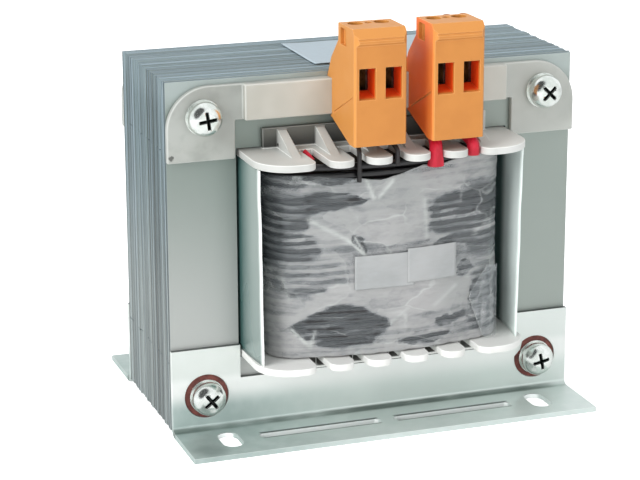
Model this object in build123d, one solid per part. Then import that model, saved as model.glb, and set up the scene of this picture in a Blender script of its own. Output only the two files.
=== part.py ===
from build123d import *
import os
from math import cos, radians, sin, sqrt

# A laminated chassis transformer. X runs along the core's width, the front faces -Y, +Z is up.
# The origin lies under the middle of the core, on the plane of the feet. Millimetres.

# Core of stacked E and I sheets
tongue_width = 40.0
window_width = 20.0
window_height = 60.0
leg_width = 20.0
yoke_height = 20.0
stack_depth = 45.0
packet_count = 9
core_bolt_hole = 7.0
core_lift = 1.0

# Foot brackets of folded sheet
sheet = 1.5
foot_reach = 23.0
bend_radius = 1.5
tab_height = 24.0
saddle_gap = 0.2
bracket_hole = 12.7
foot_slot_inset = 13.5
foot_slot_width = 5.8
foot_slot_length = 11.0
foot_slot_reach = 12.0
relief_width = 3.2
relief_inset = 2.0
relief_slot_gap = 5.6
hole_lip_gap = 0.2
hole_lip_sheet = 0.4
hole_lip_angles = (128.0, 150.0, 174.0)

# Bobbin
tongue_clearance = 0.3
tube_wall = 1.5
flange = 2.0
flange_gap = 0.3
flange_side_gap = 0.5
flange_rim = 4.8
flange_corner = 10.0
finger_gaps = 5
finger_pitch = 11.0
finger_gap_width = 3.8
finger_gap_root = 6.0
finger_tip_radius = 3.3
finger_land = 0.5
wall_end_gap = 7.0
wall_height = 5.4
wall = 1.6
wall_gap = 0.3
gusset = 2.6
gusset_tip_gap = 7.0
gusset_drop = 0.6

# Windings, outwards from the bobbin's tube
winding_gap = 0.2
primary_build = 6.0
barrier_build = 0.6
primary_corner = 4.0
coil_crown = 3.0
coil_side_gap = 4.2
film = 0.3
paper = 0.12
coil_label_width = 31.0
coil_label_height = 13.0
coil_label_x = 3.0
coil_label_drop = 3.0

# Loose sheets between the coil and the outer legs
side_sheet = 0.4
side_sheet_reach = 16.5
side_sheet_inset = 0.2

# Terminal carriers and the rails they hold
carrier = 2.0
rail = 4.0
rail_gap = 3.0
rail_end_gap = 1.5
carrier_top_gap = 1.6
carrier_corner = 12.0
carrier_tab_drop = 2.4
carrier_tab_inset = 0.8

# Two-pole terminal blocks
pole_pitch = 7.5
pole_count = 2
block_count = 2
block_spacing = 22.5
block_row_x = 5.0
block_reach = 22.0
block_top = 16.4
block_neck = 11.6
block_hook = 5.9
block_back_reach = 9.2
block_shoulder_reach = 3.6
block_hook_reach = 0.3
block_chin = 5.4
block_chin_reach = 18.0
block_brow = 2.4
brow_lip = 0.7
brow_lip_height = 1.4
brow_notch = 0.35
latch = 0.8
latch_height = 0.8
block_edge = 0.5
entry_width = 4.7
entry_height = 8.6
entry_depth = 6.5
entry_back_height = 5.8
entry_rise = 1.6
passage_width = 2.6
passage_height = 4.0
cage_width = 5.2
cage_depth = 6.2
cage_height = 9.0
cage_wall = 0.8
cage_roof = 1.6
cage_clearance = 0.15
cage_reach = 12.3
clamp_screw = 3.0
clamp_head = 4.0
clamp_head_height = 2.0
clamp_recess = 1.6
clamp_slot = 0.7
clamp_slot_depth = 1.0
screw_clearance = 0.15
side_pocket_width = 4.8
side_pocket_height = 4.6
side_pocket_depth = 1.2
side_pocket_reach = 13.2
side_pocket_drop = 1.0
test_hole = 2.0
groove = 0.6
groove_rise = 7.0
groove_inset = 1.5
groove_foot = 0.5

# Leads from the coil to the blocks
lead = 1.3
sleeve = 3.5
sleeve_bore = 2.6
sleeved_wire = 2.4
lead_clearance = 0.1
lead_settle = 1.2
lead_tail = 5.0
sleeve_tail = 1.8
lead_bend = 3.0
sleeve_bend = 3.4

# Fasteners
bolt = 5.0
bolt_spare = 14.5
head = 9.5
head_height = 3.6
head_side = 1.0
head_flat = 3.0
head_shoulder = 7.8
head_shoulder_height = 2.6
recess_span = 5.2
recess_arm = 1.15
recess_depth = 2.0
recess_taper = 9.0
recess_overrun = 0.5
washer = 10.0
washer_sheet = 1.0
spring_washer = 9.2
spring_sheet = 1.3
spring_split = 1.2
split_slant = 25.0
nut_flats = 8.0
nut_height = 4.0
bolt_clearance = 0.15
fibre_washer_sheet = 1.0
fibre_clearance = 0.1
bush_wall = 0.7
recess_turns = {"top_left": 8.0, "top_right": 45.0, "low_left": 38.0, "low_right": 12.0}

# Earth tag with two push-on blades
tag_sheet = 0.8
tag_blade = 4.8
tag_blade_gap = 0.5
tag_blade_shift = 6.2
tag_rise = 3.6
tag_base = 10.0
tag_rim = 4.6
tag_blade_corner = 2.2

# Blank label on the top yoke
core_label_width = 42.0
core_label_depth = 30.0
core_label_x = 6.5

# Places that follow from the sizes above
half_stack = stack_depth / 2
core_width = tongue_width + 2 * (window_width + leg_width)
core_height = window_height + 2 * yoke_height
core_top = core_lift + core_height
window_low = core_lift + yoke_height
window_high = core_top - yoke_height
window_x = core_width / 2 - leg_width
bolt_x = core_width / 2 - leg_width / 2
bolt_low = core_lift + yoke_height / 2
bolt_high = core_top - yoke_height / 2
tube_x = tongue_width / 2 + tongue_clearance + tube_wall
tube_y = half_stack + tongue_clearance + tube_wall
flange_low = window_low + flange_gap
flange_high = window_high - flange_gap
flange_x = window_x - flange_side_gap
wall_width = 2 * (window_x - wall_end_gap)
coil_low = flange_low + flange + winding_gap
coil_high = flange_high - flange - winding_gap
coil_height = coil_high - coil_low
side_sheet_x = flange_x - side_sheet_inset
primary_out = primary_build
barrier_out = primary_out + barrier_build
film_out = side_sheet_x - side_sheet - coil_side_gap - tube_x - winding_gap
secondary_out = film_out - film
flange_reach = tube_y + winding_gap + film_out + coil_crown + flange_rim - half_stack
saddle_top = window_low - wall_height - saddle_gap
foot_slot_spacing = core_width - 2 * foot_slot_inset
rail_top = core_top - carrier_top_gap
rail_low = window_high + wall_height + rail_gap
rail_height = rail_top - rail_low
bolt_bore = bolt + 2 * bolt_clearance
fibre_washer = bracket_hole - 2 * fibre_clearance
hole_lip_rise = (bracket_hole - washer) / 2 - hole_lip_gap
block_width = pole_pitch * pole_count
cage_shaft_x = cage_width + 2 * cage_clearance
cage_shaft_y = cage_depth + 2 * cage_clearance
block_under = rail_low - block_chin
entry_middle = rail_top + entry_rise
cage_low = entry_middle - cage_height / 2


def span(x0, x1, y0, y1, z0, z1):
    """A box given by its limits."""
    middle = Pos((x0 + x1) / 2, (y0 + y1) / 2, (z0 + z1) / 2)
    return middle * Box(x1 - x0, y1 - y0, z1 - z0)


def on_front(x, reach, z):
    """A seat on the front, with its own Z pointing out of the face."""
    return Pos(x, -half_stack - reach, z) * Rot(X=90)


def on_rear(x, reach, z):
    """A seat on the rear, with its own Z pointing out of the face."""
    return Pos(x, half_stack + reach, z) * Rot(X=-90)


def standing(height):
    """Lifts a shape made on the plane z = 0 by half its height, so that it stands on it."""
    return Pos(0, 0, height / 2)


def front_plane(reach=0.0):
    """Drawing plane parallel to the front face, at a distance in front of it."""
    return Plane.XZ.offset(half_stack + reach)


def side_profile(points, width, x):
    """A closed outline of (reach from the front face, height), drawn out along X about x."""
    outline = Polyline(*[(-half_stack - reach, z) for reach, z in points], close=True)
    face = Plane.YZ * make_face(outline)
    return Pos(x - width / 2, 0, 0) * extrude(face, width, dir=(1, 0, 0))


def group(solids):
    return Compound(children=list(solids))


def bolt_seats():
    """Name, x and height of each through bolt."""
    return [
        ("top_left", -bolt_x, bolt_high),
        ("top_right", bolt_x, bolt_high),
        ("low_left", -bolt_x, bolt_low),
        ("low_right", bolt_x, bolt_low),
    ]


def block_places():
    first = block_row_x - block_spacing * (block_count - 1) / 2
    return [first + block_spacing * i for i in range(block_count)]


def pole_places(block_x):
    first = block_x - pole_pitch * (pole_count - 1) / 2
    return [first + pole_pitch * i for i in range(pole_count)]


def finger_gap_places():
    return [finger_pitch * (i - (finger_gaps - 1) / 2) for i in range(finger_gaps)]


# Core

def core_sheet_outline(is_yoke, is_flipped):
    """An E sheet, or the I that closes it, with its bolt holes. A flipped pair has its I at the bottom."""
    e_height = core_height - yoke_height
    window_middle = tongue_width / 2 + window_width / 2
    if is_yoke:
        outline = Pos(0, core_top - yoke_height / 2) * Rectangle(core_width, yoke_height)
    else:
        outline = Pos(0, core_lift + e_height / 2) * Rectangle(core_width, e_height)
        for side in (-1, 1):
            middle = Pos(side * window_middle, window_low + window_height / 2)
            outline -= middle * Rectangle(window_width, window_height)
    for z in (bolt_low, bolt_high):
        for side in (-1, 1):
            outline -= Pos(side * bolt_x, z) * Circle(core_bolt_hole / 2)
    if is_flipped:
        outline = Pos(0, core_lift + core_top) * Rot(X=180) * outline
    return outline


def core_packets(is_yoke):
    """The packets of sheets, every second one turned over so that the joints are interleaved."""
    packet = stack_depth / packet_count
    solids = []
    for i in range(packet_count):
        face = front_plane(-packet * (i + 1)) * core_sheet_outline(is_yoke, i % 2 == 1)
        solids.append(extrude(face, packet, dir=(0, -1, 0)))
    return group(solids)


# Bobbin

def flange_outline():
    """One flange seen from above: round corners, and fingers divided by open gaps at both ends."""
    depth = 2 * (half_stack + flange_reach)
    end_finger = flange_x - finger_gap_places()[-1] - finger_gap_width / 2
    corner = min(flange_corner, end_finger - finger_tip_radius - finger_land)
    outline = RectangleRounded(2 * flange_x, depth, corner)
    gap_depth = flange_reach - finger_gap_root
    for x in finger_gap_places():
        for side in (-1, 1):
            middle = Pos(x, side * (depth / 2 - gap_depth / 2))
            outline -= middle * Rectangle(finger_gap_width, gap_depth)
    inside = flange_x - corner - 1e-6
    tips = [v for v in outline.vertices() if abs(v.Y) > depth / 2 - 1e-6 and abs(v.X) < inside]
    return fillet(tips, finger_tip_radius)


def gusset_solid(x):
    """A rib that stiffens one finger, from the upright wall to near the tip."""
    foot = wall_gap + wall / 2
    tip = flange_reach - gusset_tip_gap
    points = [
        (foot, flange_high - flange / 2),
        (tip, flange_high - flange / 2),
        (tip, flange_high),
        (wall_gap + wall, window_high + wall_height - gusset_drop),
        (foot, window_high + wall_height - gusset_drop),
    ]
    return side_profile(points, gusset, x)


def bobbin_end():
    """The upper flange with its walls and gussets, as moulded at both faces of the core."""
    end = Pos(0, 0, flange_high - flange) * extrude(flange_outline(), flange)
    gaps = finger_gap_places()
    middles = [gap - finger_pitch / 2 for gap in gaps] + [gaps[-1] + finger_pitch / 2]
    near, far = half_stack + wall_gap, half_stack + wall_gap + wall
    low, high = flange_high - flange, window_high + wall_height
    front = span(-wall_width / 2, wall_width / 2, -far, -near, low, high)
    for x in middles:
        front += gusset_solid(x)
    return end + front + Rot(Z=180) * front


def bobbin():
    body = bobbin_end()
    middle = (window_low + window_high) / 2
    body += Pos(0, 0, 2 * middle) * Rot(X=180) * bobbin_end()
    body += span(-tube_x, tube_x, -tube_y, tube_y, flange_low, flange_high)
    bore_x, bore_y = tube_x - tube_wall, tube_y - tube_wall
    return body - span(-bore_x, bore_x, -bore_y, bore_y, flange_low - flange, flange_high + flange)


# Windings

def coil_front(x, build, crown):
    """Distance of the coil's crowned front from the core's face, at x, for a given build."""
    chord = tube_x + winding_gap + build - coil_corner(build)
    radius = (chord**2 + crown**2) / (2 * crown)
    return tube_y + winding_gap + build - half_stack + sqrt(radius**2 - x**2) - (radius - crown)


def coil_corner(build):
    return primary_corner + build / 2


def coil_outline(build, crown=0.0):
    """The coil from above at a given build: round corners, front and rear bulging by the crown."""
    half_x = tube_x + winding_gap + build
    half_y = tube_y + winding_gap + build
    corner = coil_corner(build)
    outline = RectangleRounded(2 * half_x, 2 * half_y, corner)
    if crown:
        for side in (-1, 1):
            ends = [(sx * (half_x - corner), side * half_y) for sx in (-1, 1)]
            arc = ThreePointArc(ends[0], (0, side * (half_y + crown)), ends[1])
            outline += make_face([arc, Line(ends[1], ends[0])])
    return outline


def coil_layer(inner, outer, height=coil_height):
    """A ring of winding or wrap between two outlines."""
    return Pos(0, 0, coil_low + (coil_height - height) / 2) * extrude(outer - inner, height)


def primary_winding():
    bore = Rectangle(2 * (tube_x + winding_gap), 2 * (tube_y + winding_gap))
    return coil_layer(bore, coil_outline(primary_out))


def barrier_wrap():
    return coil_layer(coil_outline(primary_out), coil_outline(barrier_out))


def secondary_winding():
    return coil_layer(coil_outline(barrier_out), coil_outline(secondary_out, coil_crown))


def film_wrap():
    return coil_layer(coil_outline(secondary_out, coil_crown), coil_outline(film_out, coil_crown))


def coil_label():
    """A blank paper label stuck on the front of the film, following its curve."""
    skin = coil_layer(coil_outline(film_out, coil_crown), coil_outline(film_out + paper, coil_crown))
    middle = (coil_low + coil_high) / 2 - coil_label_drop
    left = coil_label_x - coil_label_width / 2
    low = middle - coil_label_height / 2
    front = -half_stack - flange_reach
    return skin & span(left, left + coil_label_width, front, -half_stack, low, low + coil_label_height)


def side_barrier(side):
    """A loose insulating sheet that stands on the lower flange beside the coil."""
    reach = half_stack + side_sheet_reach
    x0, x1 = sorted((side * side_sheet_x, side * (side_sheet_x - side_sheet)))
    return span(x0, x1, -reach, reach, flange_low + flange, flange_high - flange - winding_gap)


# Feet

def foot_bracket():
    """An L of folded sheet on the front face: cut down in the middle, with slots in its foot."""
    tab_top = core_lift + tab_height
    outline = Pos(0, tab_top / 2) * Rectangle(core_width, tab_top)
    cut_height = tab_top - saddle_top
    outline -= Pos(0, tab_top - cut_height / 2) * Rectangle(2 * window_x, cut_height)
    upright = extrude(front_plane() * outline, sheet, dir=(0, -1, 0))
    foot = span(-core_width / 2, core_width / 2, -half_stack - foot_reach, -half_stack, 0, sheet)
    bracket = upright + foot
    inner = [e for e in bracket.edges().filter_by(Axis.X) if is_edge_at(e, sheet, sheet)]
    bracket = fillet(inner, bend_radius)
    outer = [e for e in bracket.edges().filter_by(Axis.X) if is_edge_at(e, 0.0, 0.0)]
    bracket = fillet(outer, bend_radius + sheet)
    for side in (-1, 1):
        hole = on_front(side * bolt_x, 0, bolt_low) * standing(foot_reach)
        bracket -= hole * Cylinder(bracket_hole / 2, foot_reach)
        slot = Pos(side * foot_slot_spacing / 2, -half_stack - foot_slot_reach) * Rot(Z=90)
        bracket -= slot * extrude(SlotOverall(foot_slot_length, foot_slot_width), sheet)
        end = foot_slot_spacing / 2 - foot_slot_width / 2 - relief_slot_gap
        relief = Pos(side * (relief_inset + end) / 2, -half_stack - foot_slot_reach)
        bracket -= relief * extrude(SlotOverall(end - relief_inset, relief_width), sheet)
    return bracket


def is_edge_at(edge, reach, z):
    centre = edge.center()
    return abs(centre.Y + half_stack + reach) < 1e-6 and abs(centre.Z - z) < 1e-6


def hole_lip():
    """A tongue of metal left by the punch at the edge of the right front hole."""
    radius = bracket_hole / 2
    arc = [radians(angle) for angle in hole_lip_angles]
    points = [
        (radius * cos(arc[0]), radius * sin(arc[0])),
        ((radius - hole_lip_rise) * cos(arc[1]), (radius - hole_lip_rise) * sin(arc[1])),
        (radius * cos(arc[2]), radius * sin(arc[2])),
    ]
    rim = ThreePointArc(points[2], (radius * cos(arc[1]), radius * sin(arc[1])), points[0])
    lip = make_face([Polyline(*points), rim])
    place = front_plane(sheet - hole_lip_sheet) * Pos(bolt_x, bolt_low)
    return extrude(place * lip, hole_lip_sheet, dir=(0, -1, 0))


def front_bracket():
    return foot_bracket() + hole_lip()


def rear_bracket():
    return Rot(Z=180) * foot_bracket()


# Terminal carriers and blocks

def terminal_carrier():
    """A moulded strip across the upper yoke: two tabs under the bolts, joined by a raised rail."""
    tab_low = window_high - carrier_tab_drop
    height = rail_top - tab_low
    tab_inner = window_x + carrier_tab_inset
    tab_width = core_width / 2 - tab_inner
    middle = tab_inner + tab_width / 2
    tab = Pos(middle, tab_low + height / 2) * Rectangle(tab_width, height)
    corner = tab.vertices().sort_by(Axis.Y)[-2:].sort_by(Axis.X)[-1]
    tab = fillet(corner, carrier_corner)
    tab -= Pos(bolt_x, bolt_high) * Circle(bolt_bore / 2)
    outline = tab + mirror(tab, Plane.YZ)
    outline += Pos(0, (rail_low + rail_top) / 2) * Rectangle(2 * tab_inner, rail_height)
    plate = extrude(front_plane() * outline, carrier, dir=(0, -1, 0))
    rail_x = window_x - rail_end_gap
    return plate + span(-rail_x, rail_x, -half_stack - rail, -half_stack, rail_low, rail_top)


def rear_carrier():
    return Rot(Z=180) * terminal_carrier()


def block_profile():
    """The block from the side: hooked over the rail, latched under it, with a lip and a slanted chin."""
    top, lip = rail_top + block_top, block_reach + brow_lip
    lip_top = top - block_brow
    return [
        (rail, rail_low - latch_height),
        (rail - latch, rail_low - latch_height),
        (rail - latch, rail_low),
        (rail, rail_low),
        (rail, rail_top),
        (block_hook_reach, rail_top),
        (block_shoulder_reach, rail_top + block_hook),
        (block_back_reach, rail_top + block_neck),
        (block_back_reach, top),
        (lip - block_brow, top),
        (lip, lip_top),
        (lip - brow_notch, lip_top - brow_notch),
        (lip, lip_top - 2 * brow_notch),
        (lip, lip_top - brow_lip_height),
        (block_reach, lip_top - brow_lip_height - brow_lip),
        (block_reach, block_under),
        (block_chin_reach, block_under),
    ]


def wire_entry(x):
    """The pocket of one pole, its floor and roof closing in from the front face towards the clamp."""
    back = block_reach - entry_depth
    points = [
        (block_reach, entry_middle - entry_height / 2),
        (block_reach, entry_middle + entry_height / 2),
        (back, entry_middle + entry_back_height / 2),
        (back, entry_middle - entry_back_height / 2),
    ]
    return side_profile(points, entry_width, x)


def terminal_housing(block_x):
    """A two-pole housing: wire entries in front, screw shafts on top, clamp shafts open below."""
    body = side_profile(block_profile(), block_width, block_x) & block_plan(block_x)
    for x in pole_places(block_x):
        body -= wire_entry(x)
        body -= clamp_shaft(x)
    top = rail_top + block_top
    test_place = Pos(block_x, -half_stack - cage_reach, top - entry_depth / 2)
    body -= test_place * Cylinder(test_hole / 2, entry_depth)
    for side in (-1, 1):
        face_x = block_x + side * block_width / 2
        body -= side_pocket_solid(face_x)
        body -= side_groove(face_x)
    return body


def block_plan(block_x):
    """The block from above, with its two front corners taken off."""
    depth = block_reach + brow_lip
    plan = Pos(block_x, -half_stack - depth / 2) * Rectangle(block_width, depth)
    plan = chamfer(plan.vertices().sort_by(Axis.Y)[:2], block_edge + brow_lip)
    return Pos(0, 0, block_under) * extrude(plan, rail_top + block_top - block_under)


def clamp_shaft(x):
    """The room of one clamp: open below, with a hole for its screw and a passage to its entry."""
    y = -half_stack - cage_reach
    half_x, half_y = cage_shaft_x / 2, cage_shaft_y / 2
    room = span(x - half_x, x + half_x, y - half_y, y + half_y, block_under, cage_low + cage_height)
    top = rail_top + block_top
    hole_radius = clamp_head / 2 + screw_clearance
    room += Pos(x, y, (cage_low + top) / 2) * Cylinder(hole_radius, top - cage_low)
    entry_back = -half_stack - block_reach + entry_depth
    low, high = entry_middle - passage_height / 2, entry_middle + passage_height / 2
    return room + span(x - passage_width / 2, x + passage_width / 2, entry_back, y, low, high)


def side_pocket_solid(face_x):
    """The square pocket near the top of a housing's side."""
    middle = rail_top + block_top - side_pocket_drop - side_pocket_height / 2
    place = Pos(face_x, -half_stack - side_pocket_reach, middle)
    return place * Box(2 * side_pocket_depth, side_pocket_width, side_pocket_height)


def side_groove(face_x):
    """The slanted parting groove low on a housing's side."""
    low = (rail + groove_inset, rail_low + groove_foot)
    high = (block_reach - groove_inset, low[1] + groove_rise)
    points = [low, high, (high[0], high[1] + groove), (low[0], low[1] + groove)]
    return side_profile(points, groove, face_x)


def clamp_cages():
    """The metal clamp of each pole, with its wire window facing the entry."""
    solids = []
    for block_x in block_places():
        for x in pole_places(block_x):
            place = Pos(x, -half_stack - cage_reach, entry_middle)
            cage = Box(cage_width, cage_depth, cage_height)
            cage -= Box(cage_width - 2 * cage_wall, cage_depth, cage_height - 2 * cage_roof)
            roof = Pos(0, 0, (cage_height - cage_roof) / 2)
            cage -= roof * Cylinder(clamp_screw / 2 + screw_clearance, cage_roof)
            solids.append(place * cage)
    return group(solids)


def clamp_screw_solid():
    """A slotted clamp screw, its head up, standing on its point."""
    head_z = rail_top + block_top - clamp_recess - entry_middle
    shank_low = cage_height / 2 - cage_roof - cage_wall
    shank = head_z - clamp_head_height - shank_low
    body = Pos(0, 0, shank_low) * standing(shank) * Cylinder(clamp_screw / 2, shank)
    head_place = Pos(0, 0, head_z - clamp_head_height) * standing(clamp_head_height)
    body += head_place * Cylinder(clamp_head / 2, clamp_head_height)
    return body - Pos(0, 0, head_z) * Box(clamp_head, clamp_slot, 2 * clamp_slot_depth)


def clamp_screws():
    places = [x for block_x in block_places() for x in pole_places(block_x)]
    return group(Pos(x, -half_stack - cage_reach, entry_middle) * clamp_screw_solid() for x in places)


# Leads

def lead_route(pole_x, gap_x, radius, bend, tail):
    """From under a clamp, down through a gap between fingers, to the front of the coil."""
    drop = coil_front(gap_x, film_out, coil_crown) + radius + lead_clearance
    points = [
        (pole_x, -half_stack - cage_reach, cage_low),
        (pole_x, -half_stack - cage_reach, block_under),
        (gap_x, -half_stack - drop, flange_high + lead_settle),
        (gap_x, -half_stack - drop, coil_high - tail),
    ]
    return FilletPolyline(*points, radius=bend)


def along(route, radius):
    section = Plane(origin=route @ 0, z_dir=route % 0) * Circle(radius)
    return sweep(section, path=route)


def lead_pairs(block_index):
    """Each pole of a block, paired with the finger gap that its lead passes through."""
    gaps = finger_gap_places()
    poles = pole_places(block_places()[block_index])
    return [(x, min(gaps, key=lambda gap: abs(gap - x))) for x in poles]


def primary_leads():
    routes = [lead_route(x, gap, lead / 2, lead_bend, lead_tail) for x, gap in lead_pairs(0)]
    return group(along(route, lead / 2) for route in routes)


def sleeve_routes(tail):
    return [lead_route(x, gap, sleeve / 2, sleeve_bend, tail) for x, gap in lead_pairs(-1)]


def secondary_leads():
    return group(along(route, sleeved_wire / 2) for route in sleeve_routes(lead_tail))


def lead_sleeves():
    routes = sleeve_routes(sleeve_tail)
    return group(along(route, sleeve / 2) - along(route, sleeve_bore / 2) for route in routes)


# Fasteners

def seat_under_washers(name):
    """How far in front of the core the flat washer of a bolt lies, and the same behind it."""
    return carrier if name.startswith("top") else fibre_washer_sheet


def rear_seat(name):
    tag = tag_sheet if name == "top_right" else 0.0
    return seat_under_washers(name) + tag


def ring(outer, bore, height):
    return standing(height) * (Cylinder(outer / 2, height) - Cylinder(bore / 2, height))


def cross_recess():
    """The cross of a driver recess, narrowing downwards from a little above the plane z = 0."""
    cross = Rectangle(recess_span, recess_arm) + Rectangle(recess_arm, recess_span)
    depth = recess_depth + recess_overrun
    return Pos(0, 0, recess_overrun) * extrude(cross, depth, dir=(0, 0, -1), taper=recess_taper)


def pan_head(turn):
    """A pan head that stands on z = 0, its recess turned about its axis."""
    edge, flat = (head / 2, head_side), (head_flat / 2, head_height)
    sides = Polyline(flat, (0, head_height), (0, 0), (head / 2, 0), edge)
    crown = ThreePointArc(edge, (head_shoulder / 2, head_shoulder_height), flat)
    face = Plane.XZ * make_face([sides, crown])
    return revolve(face, Axis.Z) - Pos(0, 0, head_height) * Rot(Z=turn) * cross_recess()


def through_bolt(name, x, z):
    seat = seat_under_washers(name) + washer_sheet + spring_sheet
    length = stack_depth + bolt_spare
    body = pan_head(recess_turns[name]) + Pos(0, 0, -length / 2) * Cylinder(bolt / 2, length)
    return on_front(x, seat, z) * body


def through_bolts():
    return group(through_bolt(*seat) for seat in bolt_seats())


def spring_washers():
    """Split rings between each head and its flat washer."""
    split = Pos(spring_washer / 2, 0, spring_sheet / 2) * Rot(X=split_slant)
    solids = []
    for name, x, z in bolt_seats():
        body = ring(spring_washer, bolt_bore, spring_sheet)
        body -= split * Box(spring_washer, spring_split, 3 * spring_sheet)
        solids.append(on_front(x, seat_under_washers(name) + washer_sheet, z) * body)
    return group(solids)


def front_washers():
    flat = ring(washer, bolt_bore, washer_sheet)
    return group(on_front(x, seat_under_washers(name), z) * flat for name, x, z in bolt_seats())


def rear_washers():
    flat = ring(washer, bolt_bore, washer_sheet)
    return group(on_rear(x, rear_seat(name), z) * flat for name, x, z in bolt_seats())


def hex_nuts():
    outline = RegularPolygon(nut_flats / 2, 6, major_radius=False) - Circle(bolt_bore / 2)
    nut = extrude(outline, nut_height)
    return group(on_rear(x, rear_seat(name) + washer_sheet, z) * nut for name, x, z in bolt_seats())


def fibre_washers():
    """Insulating washers set into the holes of both brackets."""
    low = [(x, z) for name, x, z in bolt_seats() if name.startswith("low")]
    flat = ring(fibre_washer, bolt_bore, fibre_washer_sheet)
    front = [on_front(x, 0, z) * flat for x, z in low]
    return group(front + [on_rear(x, 0, z) * flat for x, z in low])


def bolt_bushes():
    """Insulating tubes around the bolts, inside the core."""
    tube = ring(bolt_bore + 2 * bush_wall, bolt_bore, stack_depth)
    return group(on_front(x, -stack_depth, z) * tube for name, x, z in bolt_seats())


def earth_tag():
    """A tag under the upper right rear nut, with two blades beside the nut that stand above the core."""
    blades = 2 * tag_blade + tag_blade_gap
    left, right = -tag_blade_shift - blades / 2, tag_rim
    outline = Pos((left + right) / 2, 0) * RectangleRounded(right - left, tag_base, tag_blade_corner)
    height = core_top + tag_rise - bolt_high
    for side in (-1, 1):
        middle = -tag_blade_shift + side * (tag_blade + tag_blade_gap) / 2
        blade = Pos(middle, height / 2) * Rectangle(tag_blade, height)
        outline += fillet(blade.vertices().sort_by(Axis.Y)[-2:], tag_blade_corner)
    outline -= Circle(bolt_bore / 2)
    place = Plane.XZ.offset(-half_stack - carrier - tag_sheet) * Pos(bolt_x, bolt_high)
    return extrude(place * outline, tag_sheet, dir=(0, -1, 0))


def core_label():
    """A blank paper label on the top yoke, between the carriers."""
    left = core_label_x - core_label_width / 2
    half_depth = core_label_depth / 2
    return span(left, left + core_label_width, -half_depth, half_depth, core_top, core_top + paper)


left_block, right_block = block_places()
pieces = {
    "e_laminations": core_packets(is_yoke=False),
    "i_laminations": core_packets(is_yoke=True),
    "bobbin": bobbin(),
    "primary_winding": primary_winding(),
    "winding_barrier": barrier_wrap(),
    "secondary_winding": secondary_winding(),
    "film_wrap": film_wrap(),
    "coil_label": coil_label(),
    "side_sheet_left": side_barrier(-1),
    "side_sheet_right": side_barrier(1),
    "front_foot_bracket": front_bracket(),
    "rear_foot_bracket": rear_bracket(),
    "front_terminal_carrier": terminal_carrier(),
    "rear_terminal_carrier": rear_carrier(),
    "terminal_housing_left": terminal_housing(left_block),
    "terminal_housing_right": terminal_housing(right_block),
    "clamp_cages": clamp_cages(),
    "clamp_screws": clamp_screws(),
    "primary_leads": primary_leads(),
    "secondary_leads": secondary_leads(),
    "lead_sleeves": lead_sleeves(),
    "through_bolts": through_bolts(),
    "spring_washers": spring_washers(),
    "front_washers": front_washers(),
    "rear_washers": rear_washers(),
    "hex_nuts": hex_nuts(),
    "fibre_washers": fibre_washers(),
    "bolt_bushes": bolt_bushes(),
    "earth_tag": earth_tag(),
    "core_label": core_label(),
}

os.makedirs("parts", exist_ok=True)
for name, shape in pieces.items():
    export_step(shape, os.path.join("parts", name + ".step"))
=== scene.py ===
from math import cos, exp, hypot, pi, radians, sin, tan

import bmesh
import bpy
import numpy as np
from mathutils import Matrix, Vector, noise


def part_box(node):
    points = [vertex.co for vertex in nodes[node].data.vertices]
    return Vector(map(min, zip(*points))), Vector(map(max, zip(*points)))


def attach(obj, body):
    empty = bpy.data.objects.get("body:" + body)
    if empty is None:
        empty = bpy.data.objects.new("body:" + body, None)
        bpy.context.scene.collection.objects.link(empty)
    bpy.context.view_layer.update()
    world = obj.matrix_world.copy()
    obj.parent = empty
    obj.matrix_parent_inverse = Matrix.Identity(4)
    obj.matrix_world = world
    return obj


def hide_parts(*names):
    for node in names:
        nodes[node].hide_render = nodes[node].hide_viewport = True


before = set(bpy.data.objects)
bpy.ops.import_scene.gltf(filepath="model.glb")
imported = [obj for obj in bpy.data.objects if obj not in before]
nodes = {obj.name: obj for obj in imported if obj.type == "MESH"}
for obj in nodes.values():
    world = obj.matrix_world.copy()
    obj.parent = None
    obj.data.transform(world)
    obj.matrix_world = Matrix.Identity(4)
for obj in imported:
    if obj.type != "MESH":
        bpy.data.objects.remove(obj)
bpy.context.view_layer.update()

# A laminated chassis transformer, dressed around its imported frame.
# Metres; X runs along the core's width, the front faces -Y, +Z is up.
mm = 0.001


def span_of(*names):
    """The lowest and the highest corner of several CAD nodes together."""
    boxes = [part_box(name) for name in names]
    low = Vector([min(box[0][axis] for box in boxes) for axis in range(3)])
    high = Vector([max(box[1][axis] for box in boxes) for axis in range(3)])
    return low, high


# Places taken from the frame
core_low, core_high = span_of("e_laminations", "i_laminations")
film_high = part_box("film_wrap")[1]
winding_low, winding_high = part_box("secondary_winding")
top_paper_low, top_paper_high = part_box("core_label")
leads_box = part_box("primary_leads")
wires_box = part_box("secondary_leads")
sleeves_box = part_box("lead_sleeves")
bolts_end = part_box("through_bolts")[1].y
nuts_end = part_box("hex_nuts")[1].y

# Core of E and I sheets, whose sizes are all shares of the sheet's width
core_module = (core_high.x - core_low.x) / 6
core_middle = (core_low.z + core_high.z) / 2
core_depth = core_high.y - core_low.y
sheet_count = 90
packet_sheets = 10
band_sheets = 6
core_hole = 7.0 * mm
core_hole_sides = 14
core_joint = 0.22 * mm
band_shift = 0.13 * mm
sheet_shift = 0.13 * mm
sheet_share = 0.9
sheet_merge = 0.001 * mm
band_drift = 4.0
half_band = 0.4
band_tone = 0.3
half_band_tone = 0.3
single_tone = 0.4

# Winding, and the upper flange of its bobbin
film_corner = 10.35 * mm
winding_crown = 3.0 * mm
outline_points = 440
quarter_steps = 48
wire = 2.1 * mm
wire_steps = 100
wire_sides = 10
wire_unrest = 0.35 * mm
wire_crossover = 0.1
wire_drift = 2.3
turn_count = 24
turn_pitch = (winding_high.z - winding_low.z - wire - wire_unrest) / (turn_count - 1)
first_turn = winding_low.z + (wire + wire_unrest) / 2
flange_above_sheet = 2.2 * mm
flange_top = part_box("side_sheet_left")[1].z + flange_above_sheet

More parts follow.
